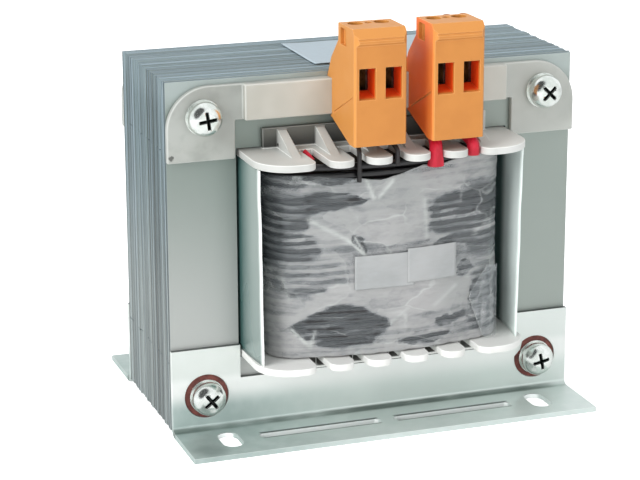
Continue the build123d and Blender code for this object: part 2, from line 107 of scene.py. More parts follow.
# Film around the winding
film_sheet = 0.3 * mm
film_rows = 100
film_gauge = 0.06 * mm
film_swell = 0.30 * mm
film_wave = 0.22 * mm
crease_rise = 0.35 * mm
crease_width = 0.55 * mm
edge_wave = 0.35 * mm

# Papers and loose sheets
paper = 0.12 * mm
paper_lift = 0.10 * mm
paper_follow = 0.6
paper_layer = 1.3 * paper
paper_edge_lift = 0.25 * mm
paper_edge_power = 8
coil_paper_steps = 24
yoke_paper_steps = 40
side_sheet = 0.4 * mm
side_sheet_steps = 40
side_sheet_ripple = 0.25 * mm
side_sheet_bow = 1.6
side_rim_from = 0.985
side_rim_soft = 0.012

# Leads, and how far from the upper flange's top they turn, are held and end
lead = 1.3 * mm
sleeve = 3.5 * mm
sleeved_wire = 2.4 * mm
finger_pitch = 11.0 * mm
finger_gaps = 5
pole_pitch = 7.5 * mm
turn_above_flange = 1.6 * mm
held_below_flange = 1.0 * mm
lead_end = 3.2 * mm
sleeve_end = 2.2 * mm
sleeve_tail = 0.4 * mm
sleeve_pleat = 0.06 * mm
flare_from = 0.55
flare_power = 1.5
flare_depth = 0.3
wire_inset = 0.3 * mm
tube_sides = 20

# Fasteners: bolts with a cross recess, which starts where the crown has fallen a little, and nuts
bolt = 5.0 * mm
recess_reach = 2.7 * mm
recess_depth = 2.3 * mm
crown_drop = 0.45 * mm
thread_pitch = 0.8 * mm
thread_rise = 0.30 * mm
thread_sunk = 0.55
thread_overlap = 0.4 * mm
thread_end = 0.1 * mm
thread_steps = 18
thread_sides = 4
nut_flats = 8.0 * mm
nut_bore = 5.3 * mm
nut_sides = 72
nut_face = 0.96
nut_chamfer = radians(30)
nut_sharp = radians(20)

# Rounding of the edges of CAD pieces
merge_within = 0.002 * mm
flat_within = radians(0.6)
round_from = radians(30)
flat_weight = 80

# Camera of the photo's view
photo_width_px = 640
focal_px = 2246.1
camera_place = Vector((-214.5, -591.3, 228.5)) * mm
camera_yaw = radians(19.249)
camera_pitch = radians(16.274)
camera_roll = radians(-0.189)
sensor_width = 36.0


# Node trees

def shade(red, green, blue):
    """A colour as a screen shows it, 0 to 255, in the linear values that a shader takes."""
    def linear(level):
        share = level / 255
        return share / 12.92 if share <= 0.04045 else ((share + 0.055) / 1.055) ** 2.4
    return (linear(red), linear(green), linear(blue), 1.0)


class NodeTree:
    """Adds nodes to one tree. An input takes a value, or another node's output that is joined to it."""

    def __init__(self, tree):
        self.tree = tree

    def join(self, value, end):
        if isinstance(value, bpy.types.NodeSocket):
            self.tree.links.new(value, end)
        else:
            end.default_value = value

    def add(self, kind, inputs=None, **settings):
        node = self.tree.nodes.new(kind)
        for name, value in settings.items():
            setattr(node, name, value)
        for key, value in (inputs or {}).items():
            self.join(value, node.inputs[key])
        return node

    def first(self, kind, inputs=None, **settings):
        return self.add(kind, inputs, **settings).outputs[0]

    def geo(self, kind, settings=None, **ends):
        """A geometry node's first output; its inputs are named with underscores."""
        inputs = {label.replace("_", " "): value for label, value in ends.items()}
        return self.first("GeometryNode" + kind, inputs, **(settings or {}))

    def arrow(self, x, y, z):
        return self.first("ShaderNodeCombineXYZ", {0: x, 1: y, 2: z})

    def math(self, operation, *values):
        return self.first("ShaderNodeMath", dict(enumerate(values)), operation=operation)

    def vector(self, operation, a, b):
        return self.add("ShaderNodeVectorMath", {0: a, 1: b}, operation=operation)

    def noise(self, place, scale, detail):
        return self.add("ShaderNodeTexNoise", {"Vector": place, "Scale": scale, "Detail": detail})

    def both(self, *masks):
        """The product of several masks."""
        product = masks[0]
        for mask in masks[1:]:
            product = self.math("MULTIPLY", product, mask)
        return product

    def swing(self, mask, share):
        """A mask as a change to both sides of nothing."""
        return self.both(self.math("SUBTRACT", mask, 0.5), share)

    def mix(self, share, a, b):
        return self.first("ShaderNodeMix", {0: share, 2: a, 3: b})

    def mix_colour(self, share, a, b):
        return self.add("ShaderNodeMix", {0: share, 6: a, 7: b}, data_type="RGBA").outputs[2]

    def tones(self, mask, hue, other_hue):
        return self.mix_colour(mask, shade(*hue), shade(*other_hue))

    def tint(self, colour, mask, hue, share=None):
        """A colour with another one, or a share of it, laid over it where a mask is 1."""
        amount = mask if share is None else self.both(mask, share)
        return self.mix_colour(amount, colour, shade(*hue))

    def ramp(self, value, low, high, to_low=0.0, to_high=1.0):
        ends = {0: value, 1: low, 2: high, 3: to_low, 4: to_high}
        return self.first("ShaderNodeMapRange", ends, interpolation_type="SMOOTHSTEP")

    def rise(self, value, zero, one, start=0.0):
        """0 to 1 between two places, in millimetres from a start."""
        return self.ramp(value, start + zero * mm, start + one * mm)

    def band(self, value, zero, one, still_one, end, start=0.0):
        """0 to 1 and back to 0 along a value, with its places in millimetres from a start."""
        return self.both(self.rise(value, zero, one, start), self.rise(value, end, still_one, start))

    def attribute(self, name):
        return self.add("ShaderNodeAttribute", attribute_name=name).outputs["Fac"]

    def place(self):
        return self.add("ShaderNodeTexCoord").outputs["Object"]

    def along(self, axis):
        return self.add("ShaderNodeSeparateXYZ", {0: self.place()}).outputs[axis]

    def away(self, axis):
        """Distance from the object's middle along an axis."""
        return self.math("ABSOLUTE", self.along(axis))

    def facing(self, axis):
        """How far the surface looks along an axis, -1 to 1."""
        normal = self.add("ShaderNodeNewGeometry").outputs["True Normal"]
        return self.add("ShaderNodeSeparateXYZ", {0: normal}).outputs[axis]


# The kind of socket for each kind of value; a shape has no value
socket_kinds = {
    float: "NodeSocketFloat",
    int: "NodeSocketInt",
    tuple: "NodeSocketVector",
    bpy.types.Material: "NodeSocketMaterial",
    type(None): "NodeSocketGeometry",
}


def node_tree(name, kind, inputs, outputs):
    """A new node group with named sockets, and the ends of its group input and output."""
    tree = bpy.data.node_groups.new(name, kind)
    for label, value in inputs.items():
        end = tree.interface.new_socket(label, in_out="INPUT", socket_type=socket_kinds[type(value)])
        if value is not None:
            end.default_value = value
    for label, value in outputs.items():
        tree.interface.new_socket(label, in_out="OUTPUT", socket_type=socket_kinds[type(value)])
    t = NodeTree(tree)
    return t, t.add("NodeGroupInput").outputs, t.add("NodeGroupOutput").inputs


# Effects that several finishes share

def cloudy_effect():
    """Soft clouds, or streaks where the place is stretched, between two levels of a noise."""
    inputs = {"Scale": 100.0, "Stretch": (1.0, 1.0, 1.0), "Detail": 3.0, "Low": 0.35, "High": 0.65}
    t, start, end = node_tree("cloudy", "ShaderNodeTree", inputs, {"Mask": 0.0})
    stretched = t.vector("MULTIPLY", t.place(), start["Stretch"]).outputs[0]
    clouds = t.noise(stretched, start["Scale"], start["Detail"]).outputs["Fac"]
    t.join(t.ramp(clouds, start["Low"], start["High"]), end["Mask"])
    return t.tree


def pebble_effect():
    """The fine uneven skin of a moulding or a plated sheet, as a height."""
    inputs = {"Scale": 2500.0, "Coarse Share": 0.5}
    t, start, end = node_tree("pebble", "ShaderNodeTree", inputs, {"Height": 0.0})
    fine = t.noise(t.place(), start["Scale"], 2.0).outputs["Fac"]
    coarse = t.noise(t.place(), t.math("MULTIPLY", start["Scale"], 0.22), 2.0).outputs["Fac"]
    t.join(t.mix(start["Coarse Share"], fine, coarse), end["Height"])
    return t.tree


def spot_effect():
    """A soft round spot at one place, its rim broken up by a noise."""
    inputs = {"Centre": (0.0, 0.0, 0.0), "Radius": 0.001, "Softness": 0.5, "Raggedness": 0.3}
    t, start, end = node_tree("spot", "ShaderNodeTree", inputs, {"Mask": 0.0})
    away = t.vector("DISTANCE", t.place(), start["Centre"]).outputs["Value"]
    reach = t.math("DIVIDE", away, start["Radius"])
    clouds = t.noise(t.place(), t.math("DIVIDE", 1.5, start["Radius"]), 3.0).outputs["Fac"]
    unrest = t.math("SUBTRACT", clouds, 0.5)
    ragged = t.math("MULTIPLY_ADD", unrest, start["Raggedness"], reach)
    inner = t.math("SUBTRACT", 1.0, start["Softness"])
    t.join(t.math("SUBTRACT", 1.0, t.ramp(ragged, inner, 1.0)), end["Mask"])
    return t.tree


def crumple_effect():
    """The facets of crumpled sheet: a level for each facet, and the fine lines between them."""
    inputs = {"Scale": 110.0, "Stretch": (1.0, 1.0, 1.0), "Line": 0.04}
    t, start, end = node_tree("crumple", "ShaderNodeTree", inputs, {"Facet": 0.0, "Fold": 0.0})
    stretched = t.vector("MULTIPLY", t.place(), start["Stretch"]).outputs[0]
    waves = t.noise(stretched, start["Scale"], 3.0).outputs["Color"]
    drift = t.vector("ADD", waves, (-0.5, -0.5, -0.5)).outputs[0]
    reach = t.math("DIVIDE", 0.9, start["Scale"])
    moved = t.first("ShaderNodeVectorMath", {0: drift, 3: reach}, operation="SCALE")
    ends = {"Vector": t.vector("ADD", stretched, moved).outputs[0], "Scale": start["Scale"]}
    facets = t.add("ShaderNodeTexVoronoi", ends).outputs["Color"]
    t.join(t.first("ShaderNodeSeparateColor", {0: facets}), end["Facet"])
    edges = t.add("ShaderNodeTexVoronoi", ends, feature="DISTANCE_TO_EDGE").outputs["Distance"]
    t.join(t.ramp(edges, start["Line"], 0.0), end["Fold"])
    return t.tree


effects = {
    "cloudy": cloudy_effect(),
    "pebble": pebble_effect(),
    "spot": spot_effect(),
    "crumple": crumple_effect(),
}


# Finishes

class Finish(NodeTree):
    """A material whose principled surface has some inputs set; the others are joined later."""

    def __init__(self, name, **inputs):
        self.look = bpy.data.materials.new(name)
        self.look.use_nodes = True
        super().__init__(self.look.node_tree)
        self.ends = self.tree.nodes["Principled BSDF"].inputs
        for label, value in inputs.items():
            self.ends[label.replace("_", " ")].default_value = value

    def effect(self, name, **values):
        """One of the shared effects, placed in the finish with its own values."""
        node = self.add("ShaderNodeGroup", node_tree=effects[name])
        for label, value in values.items():
            self.join(value, node.inputs[label.replace("_", " ")])
        return node.outputs[0]

    def clouds(self, scale, low, high, detail=3.0, stretch=(1.0, 1.0, 1.0)):
        return self.effect("cloudy", Scale=scale, Low=low, High=high, Detail=detail, Stretch=stretch)

    def spot(self, centre, radius, softness, raggedness):
        """A spot, with its centre and radius in millimetres."""
        place = tuple(part * mm for part in centre)
        return self.effect("spot", Centre=place, Radius=radius * mm, Softness=softness, Raggedness=raggedness)

    def surface(self, colour, pattern, roughness, other_roughness):
        """Joins the colour, and a roughness that follows a pattern."""
        self.join(colour, self.ends["Base Color"])
        self.join(self.mix(pattern, roughness, other_roughness), self.ends["Roughness"])

    def relief(self, height, distance, strength=1.0):
        ends = {"Height": height, "Distance": distance, "Strength": strength}
        self.join(self.first("ShaderNodeBump", ends), self.ends["Normal"])

    def grain(self, scale, coarse_share, distance):
        self.relief(self.effect("pebble", Scale=scale, Coarse_Share=coarse_share), distance)


def core_steel_finish():
    """Rolled sheet: grey faces, and darker cut edges that differ from sheet to sheet, with painted light:
    lighter low down, on edges that face up and on the top strip, and painted shade on the right side's face.
    """
    t = Finish("core_steel", Metallic=0.4)
    is_edge = t.attribute("cut_edge")
    height = t.along("Z")
    # Painted light: faces and edges lighter low down
    painted_light_low_down = t.rise(height, 85.0, 25.0)
    streaks = t.clouds(60.0, 0.3, 0.7, 5.0, (0.25, 60.0, 0.25))
    stains = t.clouds(45.0, 0.42, 0.72, 4.0, (1.0, 2.5, 1.0))
    sheen = t.clouds(14.0, 0.3, 0.7, 2.0, (1.0, 1.0, 0.45))
    tone = t.ramp(t.mix(0.3, t.attribute("sheet_tone"), streaks), 0.16, 0.82)
    pale = t.tones(painted_light_low_down, (162, 184, 194), (186, 198, 198))
    edge = t.mix_colour(tone, shade(26, 42, 52), pale)
    edge = t.tint(edge, stains, (88, 102, 106), 0.2)
    # Painted light: edges that face up are lighter
    edge = t.tint(edge, t.ramp(t.facing("Z"), 0.5, 0.8), (172, 192, 204), 0.36)
    face = t.tones(painted_light_low_down, (134, 145, 139), (182, 185, 182))
    face = t.tint(face, sheen, (178, 181, 176), 0.15)
    # Painted shade: the face darker towards the right
    face = t.tint(face, t.rise(t.along("X"), 0.0, 35.0), (158, 167, 161), 0.85)
    # Painted light: a lighter strip along the top of the face
    face = t.tint(face, t.rise(height, -11.0, -3.0, core_high.z), (184, 195, 194), 0.6)
    t.surface(t.mix_colour(is_edge, face, edge), is_edge, 0.4, 0.5)
    t.grain(1800.0, 0.4, 0.02 * mm)
    return t.look


def zinc_sheet_finish():
    """Zinc plating, blotchy, with one mark, and painted light and shade: lighter to the right and up the
    upright than on the foot, a dark shade line along the fold, white slot walls with a dark shadow at their
    top and along the slots' edges, bright rims, and cut upper edges darkened partly as cut steel and partly
    as painted shadow.
    """
    t = Finish("zinc_sheet")
    blotches = t.clouds(260.0, 0.35, 0.7, 4.0)
    broad = t.clouds(28.0, 0.35, 0.65, 3.0, (0.5, 1.0, 1.0))
    height, reach, across = t.along("Z"), t.away("Y"), t.away("X")
    # Painted light: the bracket lighter to the right, the upright lighter higher up and lighter than the foot
    painted_light_rightwards = t.rise(t.along("X"), -48.0, 0.0)
    upright = t.tones(painted_light_rightwards, (185, 201, 197), (228, 237, 232))
    upright = t.tint(upright, t.rise(height, 7.0, 13.0), (252, 254, 251))
    tab = t.tones(painted_light_rightwards, (232, 237, 232), (236, 241, 237))
    upright = t.mix_colour(t.rise(height, 15.0, 17.5), upright, tab)
    foot = t.tones(painted_light_rightwards, (178, 194, 190), (218, 229, 225))
    colour = t.mix_colour(t.rise(height, 1.6, 3.4), foot, upright)
    colour = t.tint(colour, blotches, (238, 242, 240), 0.14)
    colour = t.tint(colour, broad, (176, 191, 187), 0.2)
    # Painted shade along the fold
    colour = t.tint(colour, painted_fold_shade(t, reach, height), (104, 118, 112))
    handling_mark = t.spot((-54.0, -40.5, 1.5), 6.0, 0.7, 0.5)
    colour = t.tint(colour, handling_mark, (108, 122, 120), 0.45)
    # Painted highlight on the rounded rims
    colour = t.tint(colour, t.attribute("rim"), (246, 249, 247), 0.5)
    # Painted light at the slots: the far wall white and not metallic, with a painted shadow along its top
    faces_front = t.ramp(t.facing("Y"), -0.5, -0.8)
    slot_wall = t.both(faces_front, t.rise(reach, 40.5, 39.5), t.rise(height, 1.6, 1.4))
    slot_painted_light = t.tones(t.rise(height, 1.3, 1.38), (250, 255, 253), (54, 66, 62))
    colour = t.mix_colour(slot_wall, colour, slot_painted_light)
    # Painted shadow along the slots' edges
    behind_slot = t.band(reach, 32.0, 32.3, 32.8, 32.95)
    before_slot = t.band(reach, 36.05, 36.2, 36.7, 37.0)
    beside_slot = t.band(across, 2.0, 3.0, 37.0, 38.0)
    slot_edge_painted_shadow = t.math("MAXIMUM", behind_slot, t.both(before_slot, 0.7))
    slot_edge_painted_shadow = t.both(slot_edge_painted_shadow, beside_slot, t.rise(height, 2.0, 1.6))
    colour = t.tint(colour, slot_edge_painted_shadow, (58, 70, 66), 0.85)
    # Dark upper edges: partly cut steel, partly painted shadow of the gap to the core
    cut = t.both(t.ramp(t.facing("Z"), 0.5, 0.8), t.rise(height, 8.0, 10.0))
    t.surface(t.tint(colour, cut, (52, 58, 56), 0.9), blotches, 0.42, 0.34)
    t.join(t.mix(slot_wall, 0.55, 0.0), t.ends["Metallic"])
    t.grain(1500.0, 0.6, 0.012 * mm)
    return t.look


def painted_fold_shade(t, reach, height):
    """Painted shade: a dark line along the fold of the feet, broken up along its length."""
    line = t.band(reach, 1.5, 1.85, 3.0, 4.4, core_high.y)
    broken = t.clouds(40.0, 0.25, 0.6, 3.0, (1.0, 0.2, 0.2))
    return t.both(line, broken, t.rise(height, 4.5, 3.0), 0.85)


def zinc_fastener_finish():
    """Bright plating, with painted highlights brightest along the rims, and painted shade, dark and not
    metallic, in the cross recesses.
    """
    t = Finish("zinc_fastener")
    blotches = t.clouds(420.0, 0.35, 0.7, 4.0)
    # Painted shade inside the cross recesses
    recess = t.ramp(t.attribute("recess"), 0.04, 0.3)
    plated = t.tones(blotches, (226, 232, 226), (246, 249, 246))
    # Painted highlight along the rims
    plated = t.tint(plated, t.attribute("rim"), (255, 255, 255), 0.7)
    t.surface(t.tint(plated, recess, (16, 24, 22)), blotches, 0.24, 0.16)
    t.join(t.mix(recess, 0.95, 0.2), t.ends["Metallic"])
    t.grain(2600.0, 0.5, 0.015 * mm)
    return t.look


def white_nylon_finish():
    """The bobbin: white, with painted highlights along its rims, painted light that makes the upper flange
    darker than the lower one and the right end lighter, painted shade in the corner under the lower flange,
    and its upper wall dark grey, darkest down at the flange.
    """
    t = Finish("white_nylon")
    clouds = t.clouds(55.0, 0.35, 0.65)
    height, reach, across = t.along("Z"), t.away("Y"), t.along("X")
    # Painted light and shade: the upper flange darker than the lower one
    upper = t.tones(clouds, (196, 197, 193), (208, 209, 205))
    lower = t.tones(clouds, (232, 232, 228), (240, 240, 237))
    colour = t.mix_colour(t.rise(height, 40.0, 60.0), lower, upper)
    # The upper wall dark grey, darkest down at the flange
    wall = t.both(t.rise(reach, 2.6, 1.9, core_high.y), t.rise(height, -0.2, 0.6, flange_top))
    grey = t.tones(t.rise(height, 0.0, 6.0, flange_top), (46, 46, 44), (92, 93, 88))
    colour = t.mix_colour(wall, colour, grey)
    # Painted shade in the corner under the lower flange
    corner = t.both(t.band(height, 16.0, 17.6, 21.2, 21.4), t.rise(reach, 36.5, 33.0))
    corner = t.both(corner, t.rise(across, -31.0, -30.0))
    colour = t.tint(colour, corner, (44, 42, 38))
    # Painted light: the right end lighter
    colour = t.tint(colour, t.rise(across, 24.0, 34.0), (232, 233, 230), 0.6)
    # Painted highlight along the rims, weaker on the upper wall
    painted_rim_highlight = t.both(t.attribute("rim"), t.mix(wall, 0.8, 0.25))
    colour = t.tint(colour, painted_rim_highlight, (246, 247, 244))
    dot = t.spot((-28.8, -25.0, 81.6), 0.6, 0.2, 0.3)
    t.surface(t.tint(colour, dot, (20, 18, 16)), clouds, 0.42, 0.5)
    t.grain(1600.0, 0.5, 0.02 * mm)
    return t.look


def carrier_finish():
    """An off-white moulding that looks greyer where it is thin and creamier along its thick rail, with
    painted light on its right end and painted highlights on its rims.
    """
    t = Finish("translucent_moulding")
    clouds = t.clouds(70.0, 0.35, 0.65, 2.0)
    mottle = t.clouds(150.0, 0.45, 0.72)
    tab = t.tones(clouds, (154, 157, 152), (172, 175, 170))
    tab = t.tint(tab, mottle, (138, 142, 136), 0.6)
    rail = t.tones(clouds, (178, 177, 168), (189, 188, 180))
    is_rail = t.rise(t.away("Y"), 1.8, 3.6, core_high.y)
    colour = t.mix_colour(is_rail, tab, rail)
    # Painted light: the right end lighter
    colour = t.tint(colour, t.rise(t.along("X"), 10.0, 30.0), (206, 208, 202), 0.4)
    # Painted highlight on the rims
    colour = t.tint(colour, t.attribute("rim"), (212, 214, 210), 0.4)
    crack = t.spot((-58.9, -24.4, 80.2), 0.9, 0.4, 1.2)
    t.surface(t.tint(colour, crack, (60, 62, 58), 0.8), clouds, 0.4, 0.48)
    t.grain(1200.0, 0.6, 0.02 * mm)
    return t.look


def orange_moulding_finish():
    """Orange plastic with painted light: lighter on faces that look left and up, a deeper orange-red of
    painted bounced light in its wire entries and on the right block's face that looks at the left one, and
    highlights on its rims.
    """
    t = Finish("orange_moulding")
    clouds = t.clouds(120.0, 0.35, 0.65)
    left_low, left_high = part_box("terminal_housing_left")
    right_low, right_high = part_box("terminal_housing_right")
    across, along, height = [t.along(axis) for axis in "XYZ"]
    colour = t.tones(clouds, (198, 128, 58), (204, 134, 63))
    # Painted light: faces that look left or up are lighter
    turned = t.math("MAXIMUM", t.ramp(t.facing("X"), -0.4, -0.8), t.ramp(t.facing("Z"), 0.5, 0.8))
    colour = t.tint(colour, turned, (214, 144, 70))
    # Painted bounced light: deep orange-red on the right block's face that looks at the left block, strongest
    # far in
    past_left_block = t.ramp(across, left_high.x, right_low.x - 0.5 * mm)
    painted_bounce_face = t.both(past_left_block, t.rise(across, 0.35, 0.1, right_low.x))
    inwards = t.mix(t.rise(along, 1.0, 8.0, left_low.y), 0.5, 0.95)
    colour = t.tint(colour, painted_bounce_face, (255, 122, 44), inwards)
    # Painted bounced light, deep orange-red, inside the wire entries
    painted_entry_bounce = t.both(t.band(height, 96.4, 97.4, 104.6, 105.6), t.band(along, 1.3, 2.1, 8.0, 9.0, left_low.y))
    within = [t.both(t.rise(across, 0.2, 0.6, low.x), t.rise(across, -0.2, -0.6, high.x))
              for low, high in ((left_low, left_high), (right_low, right_high))]
    colour = t.tint(colour, painted_entry_bounce, (240, 84, 26), t.math("MAXIMUM", *within))
    # Painted highlight on the rims
    t.surface(t.tint(colour, t.attribute("rim"), (240, 184, 122), 0.5), clouds, 0.42, 0.5)
    t.grain(2200.0, 0.35, 0.02 * mm)
    return t.look


def clear_film_finish():
    """Clear film: it shows the wire where it clings, is milky where it stands off, and white at creases,
    partly whitened plastic and partly painted highlight, with painted glints along the folds of its facets.
    """
    t = Finish("clear_film", Specular_IOR_Level=0.6, Coat_Weight=0.2)
    along_wire = t.clouds(360.0, 0.36, 0.64, 6.0, (0.16, 0.16, 1.0))
    ragged = t.clouds(1100.0, 0.3, 0.7, 6.0, (0.4, 0.4, 1.0))
    broad = t.effect("crumple", Scale=95.0, Stretch=(0.7, 0.7, 1.2), Line=0.035)
    small = t.effect("crumple", Scale=300.0, Stretch=(0.6, 0.6, 1.3), Line=0.05)
    valley = film_valley(t)
    haze = t.attribute("haze")
    striped = t.both(t.mix(haze, 0.78, -0.08), t.attribute("cling"))
    streaked = t.mix(haze, 0.36, 0.14)
    unrests = ((valley, striped), (along_wire, streaked), (ragged, 0.12), (broad, 0.22), (small, 0.12))
    for unrest, share in unrests:
        haze = t.math("ADD", haze, t.swing(unrest, share))
    milk = t.ramp(haze, 0.05, 1.02)
    # Painted glints: thin white lines along the folds of the crumpled facets
    painted_glint = t.both(broad.node.outputs["Fold"], t.clouds(75.0, 0.38, 0.62, 1.0))
    crease = t.math("MAXIMUM", t.attribute("crease"), t.both(painted_glint, 0.55))
    grey = t.tones(t.clouds(38.0, 0.3, 0.7, 2.0), (168, 170, 169), (184, 183, 183))
    colour = t.mix_colour(milk, shade(150, 156, 160), grey)
    # White at creases and glints, in colour and opacity: partly whitened plastic, partly painted highlight
    t.surface(t.tint(colour, crease, (212, 216, 213)), milk, 0.14, 0.40)
    veil = t.mix(milk, 0.14, 0.82)
    t.join(t.math("MAXIMUM", veil, t.both(crease, 0.66)), t.ends["Alpha"])
    wrinkles = t.clouds(240.0, 0.2, 0.8, 5.0, (0.7, 0.7, 1.7))
    height = t.math("ADD", wrinkles, t.both(valley, 0.3))
    t.relief(t.math("ADD", height, t.both(small, 0.3)), 0.3 * mm, 0.8)
    return t.look


def film_valley(t):
    """1 where the film spans the groove between two turns of wire, 0 where it lies on a turn."""
    wobble = t.clouds(60.0, 0.0, 1.0, 2.0)
    tremble = t.clouds(260.0, 0.2, 0.8, 4.0, (0.5, 0.5, 1.0))
    turn = t.math("DIVIDE", t.math("SUBTRACT", t.along("Z"), first_turn), turn_pitch)
    turn = t.math("ADD", turn, t.swing(wobble, 0.5))
    turn = t.math("ADD", turn, t.swing(tremble, 0.22))
    wave = t.math("COSINE", t.both(turn, 2 * pi))
    broken = t.clouds(150.0, 0.34, 0.62, 3.0, (0.4, 0.4, 1.0))
    return t.both(t.ramp(wave, 0.45, -0.55), t.mix(broken, 0.3, 1.0))


def milky_sheet_finish():
    """A loose sheet, grey-green, with painted shade where it nears the core, painted light that makes the
    right sheet lighter, and a painted highlight on its cut rim.
    """
    t = Finish("milky_sheet", Specular_IOR_Level=0.5)
    clouds = t.clouds(30.0, 0.3, 0.7, 2.0, (1.0, 1.0, 0.4))
    on_right = t.rise(t.along("X"), -10.0, 10.0)
    body = t.tones(clouds, (136, 152, 148), (156, 168, 164))
    # Painted light: the right sheet lighter, as if lit through
    body = t.tint(body, on_right, (238, 250, 246))
    dark_from = t.mix(on_right, core_high.y + 11.0 * mm, core_high.y + 4.5 * mm)
    # Painted shade: darker where the sheet nears the core
    body = t.tint(body, t.ramp(t.away("Y"), dark_from, core_high.y - 0.5 * mm), (66, 98, 95))
    # Painted highlight on the cut rim, weaker on the right
    painted_rim_highlight = t.both(t.attribute("rim"), t.mix(on_right, 1.0, 0.3))
    t.surface(t.tint(body, painted_rim_highlight, (250, 253, 251)), clouds, 0.26, 0.36)
    t.grain(700.0, 0.7, 0.02 * mm)
    return t.look


def paper_finish():
    """Blank white paper with faint fibres, a little bluer on the top yoke."""
    t = Finish("label_paper", Specular_IOR_Level=0.3)
    fibres = t.clouds(900.0, 0.3, 0.75, 4.0, (0.35, 1.0, 1.0))
    white = t.tones(t.clouds(70.0, 0.3, 0.7, 2.0), (162, 164, 164), (176, 177, 177))
    white = t.tint(white, t.rise(t.along("Z"), -5.0, -2.0, core_high.z), (177, 192, 201))
    t.surface(t.tint(white, fibres, (184, 188, 190), 0.25), fibres, 0.5, 0.62)
    t.relief(fibres, 0.02 * mm)
    return t.look


def two_tone_finish(name, pattern, tones, roughness, grain=None, weave=None, **inputs):
    """Two tones in clouds that also change the roughness, with a pebbled or a cloudy relief."""
    t = Finish(name, **inputs)
    clouds = t.clouds(*pattern)
    t.surface(t.tones(clouds, *tones), clouds, *roughness)
    if grain:
        t.grain(*grain)
    if weave:
        weave_pattern, distance = weave
        t.relief(t.clouds(*weave_pattern), distance)
    return t.look


# Patterns are clouds, given by their scale, low and high level, detail and stretch
fibre_mottle = (700.0, 0.3, 0.7, 4.0)
sleeve_weave = (900.0, 0.3, 0.7, 1.0, (1.6, 1.6, 0.5))

finishes = {
    "core_steel": core_steel_finish(),
    "bobbin_plastic": white_nylon_finish(),
    "enamelled_wire": two_tone_finish(
        "wire_enamel", (180.0, 0.45, 0.8, 4.0, (0.4, 0.4, 1.0)), ((14, 13, 15), (40, 39, 42)), (0.28, 0.5),
        grain=(1400.0, 0.7, 0.03 * mm), Coat_Weight=0.35, Coat_Roughness=0.12),
    "barrier_paper": two_tone_finish(
        "barrier_paper", (500.0, 0.3, 0.7, 4.0, (0.3, 0.3, 1.0)), ((58, 50, 40), (84, 74, 60)), (0.45, 0.6)),
    "clear_film": clear_film_finish(),
    "label_paper": paper_finish(),
    "milky_sheet": milky_sheet_finish(),
    "plated_sheet": zinc_sheet_finish(),
    "carrier_plastic": carrier_finish(),
    "terminal_plastic": orange_moulding_finish(),
    # The clamp metal's dark greys are partly painted shade, for the clamps seen deep in the housings' entries
    "clamp_metal": two_tone_finish(
        "clamp_metal", (600.0, 0.35, 0.7, 4.0), ((96, 90, 82), (58, 54, 48)), (0.28, 0.42),
        grain=(2600.0, 0.4, 0.01 * mm), Metallic=0.9),
    "black_insulation": two_tone_finish(
        "black_insulation", (500.0, 0.3, 0.7), ((26, 25, 26), (44, 42, 42)), (0.35, 0.5),
        grain=(2400.0, 0.4, 0.02 * mm)),
    "red_sleeve": two_tone_finish(
        "red_sleeve", (300.0, 0.35, 0.7, 3.0, (1.0, 1.0, 0.35)), ((176, 16, 40), (216, 34, 62)), (0.38, 0.55),
        weave=(sleeve_weave, 0.08 * mm)),
    "plated_fastener": zinc_fastener_finish(),
    "fibre": two_tone_finish(
        "hard_fibre", fibre_mottle, ((88, 46, 42), (128, 74, 66)), (0.5, 0.7),
        weave=(fibre_mottle, 0.04 * mm)),
    "tag_copper": two_tone_finish(
        "dull_copper", (260.0, 0.35, 0.7, 4.0), ((206, 150, 128), (166, 112, 92)), (0.3, 0.48),
        grain=(2000.0, 0.5, 0.015 * mm), Metallic=0.85),
}


# Meshes

def new_object(name, data):
    thing = bpy.data.objects.new(name, data)
    bpy.context.scene.collection.objects.link(thing)
    return thing


def new_piece(name, mesh, slot, *replaced):
    """A finished piece at the origin, carried by the body and standing for the CAD nodes it replaces."""
    piece = new_object(name, mesh)
    if not mesh.materials:
        mesh.materials.append(finishes[slot])
    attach(piece, "root")
    if replaced:
        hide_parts(*replaced)


def mesh_from(name, points, faces):
    mesh = bpy.data.meshes.new(name)
    mesh.from_pydata([tuple(p) for p in points], [], faces)
    mesh.validate()
    mesh.shade_smooth()
    return mesh


def outwards(mesh):
    shape = bmesh.new()
    shape.from_mesh(mesh)
    bmesh.ops.recalc_face_normals(shape, faces=shape.faces)
    shape.to_mesh(mesh)
    shape.free()
    return mesh


def joined(name, shapes):
    """One mesh of several shapes, each given by its points and its faces."""
    points, faces = [], []
    for more_points, more_faces in shapes:
        first = len(points)
        points += more_points
        faces += [tuple(first + i for i in face) for face in more_faces]
    return outwards(mesh_from(name, points, faces))


def point_values(mesh, name, values):
    """A named value at each point of a mesh, for its finish to read."""
    attribute = mesh.attributes.new(name, "FLOAT", "POINT")
    attribute.data.foreach_set("value", np.array(values, np.float32))


def evaluated_mesh(thing):
    """The mesh of an object with its modifiers applied."""
    bpy.context.view_layer.update()
    graph = bpy.context.evaluated_depsgraph_get()
    return bpy.data.meshes.new_from_object(
        thing.evaluated_get(graph), preserve_all_data_layers=True, depsgraph=graph)


def outline_mesh(name, loops):
    """A mesh of closed loops of edges, flat on the ground."""
    points, edges = [], []
    for loop in loops:
        first = len(points)
        points += [(x, y, 0.0) for x, y in loop]
        edges += [(first + i, first + (i + 1) % len(loop)) for i in range(len(loop))]
    mesh = bpy.data.meshes.new(name)
    mesh.from_pydata(points, edges, [])
    return mesh


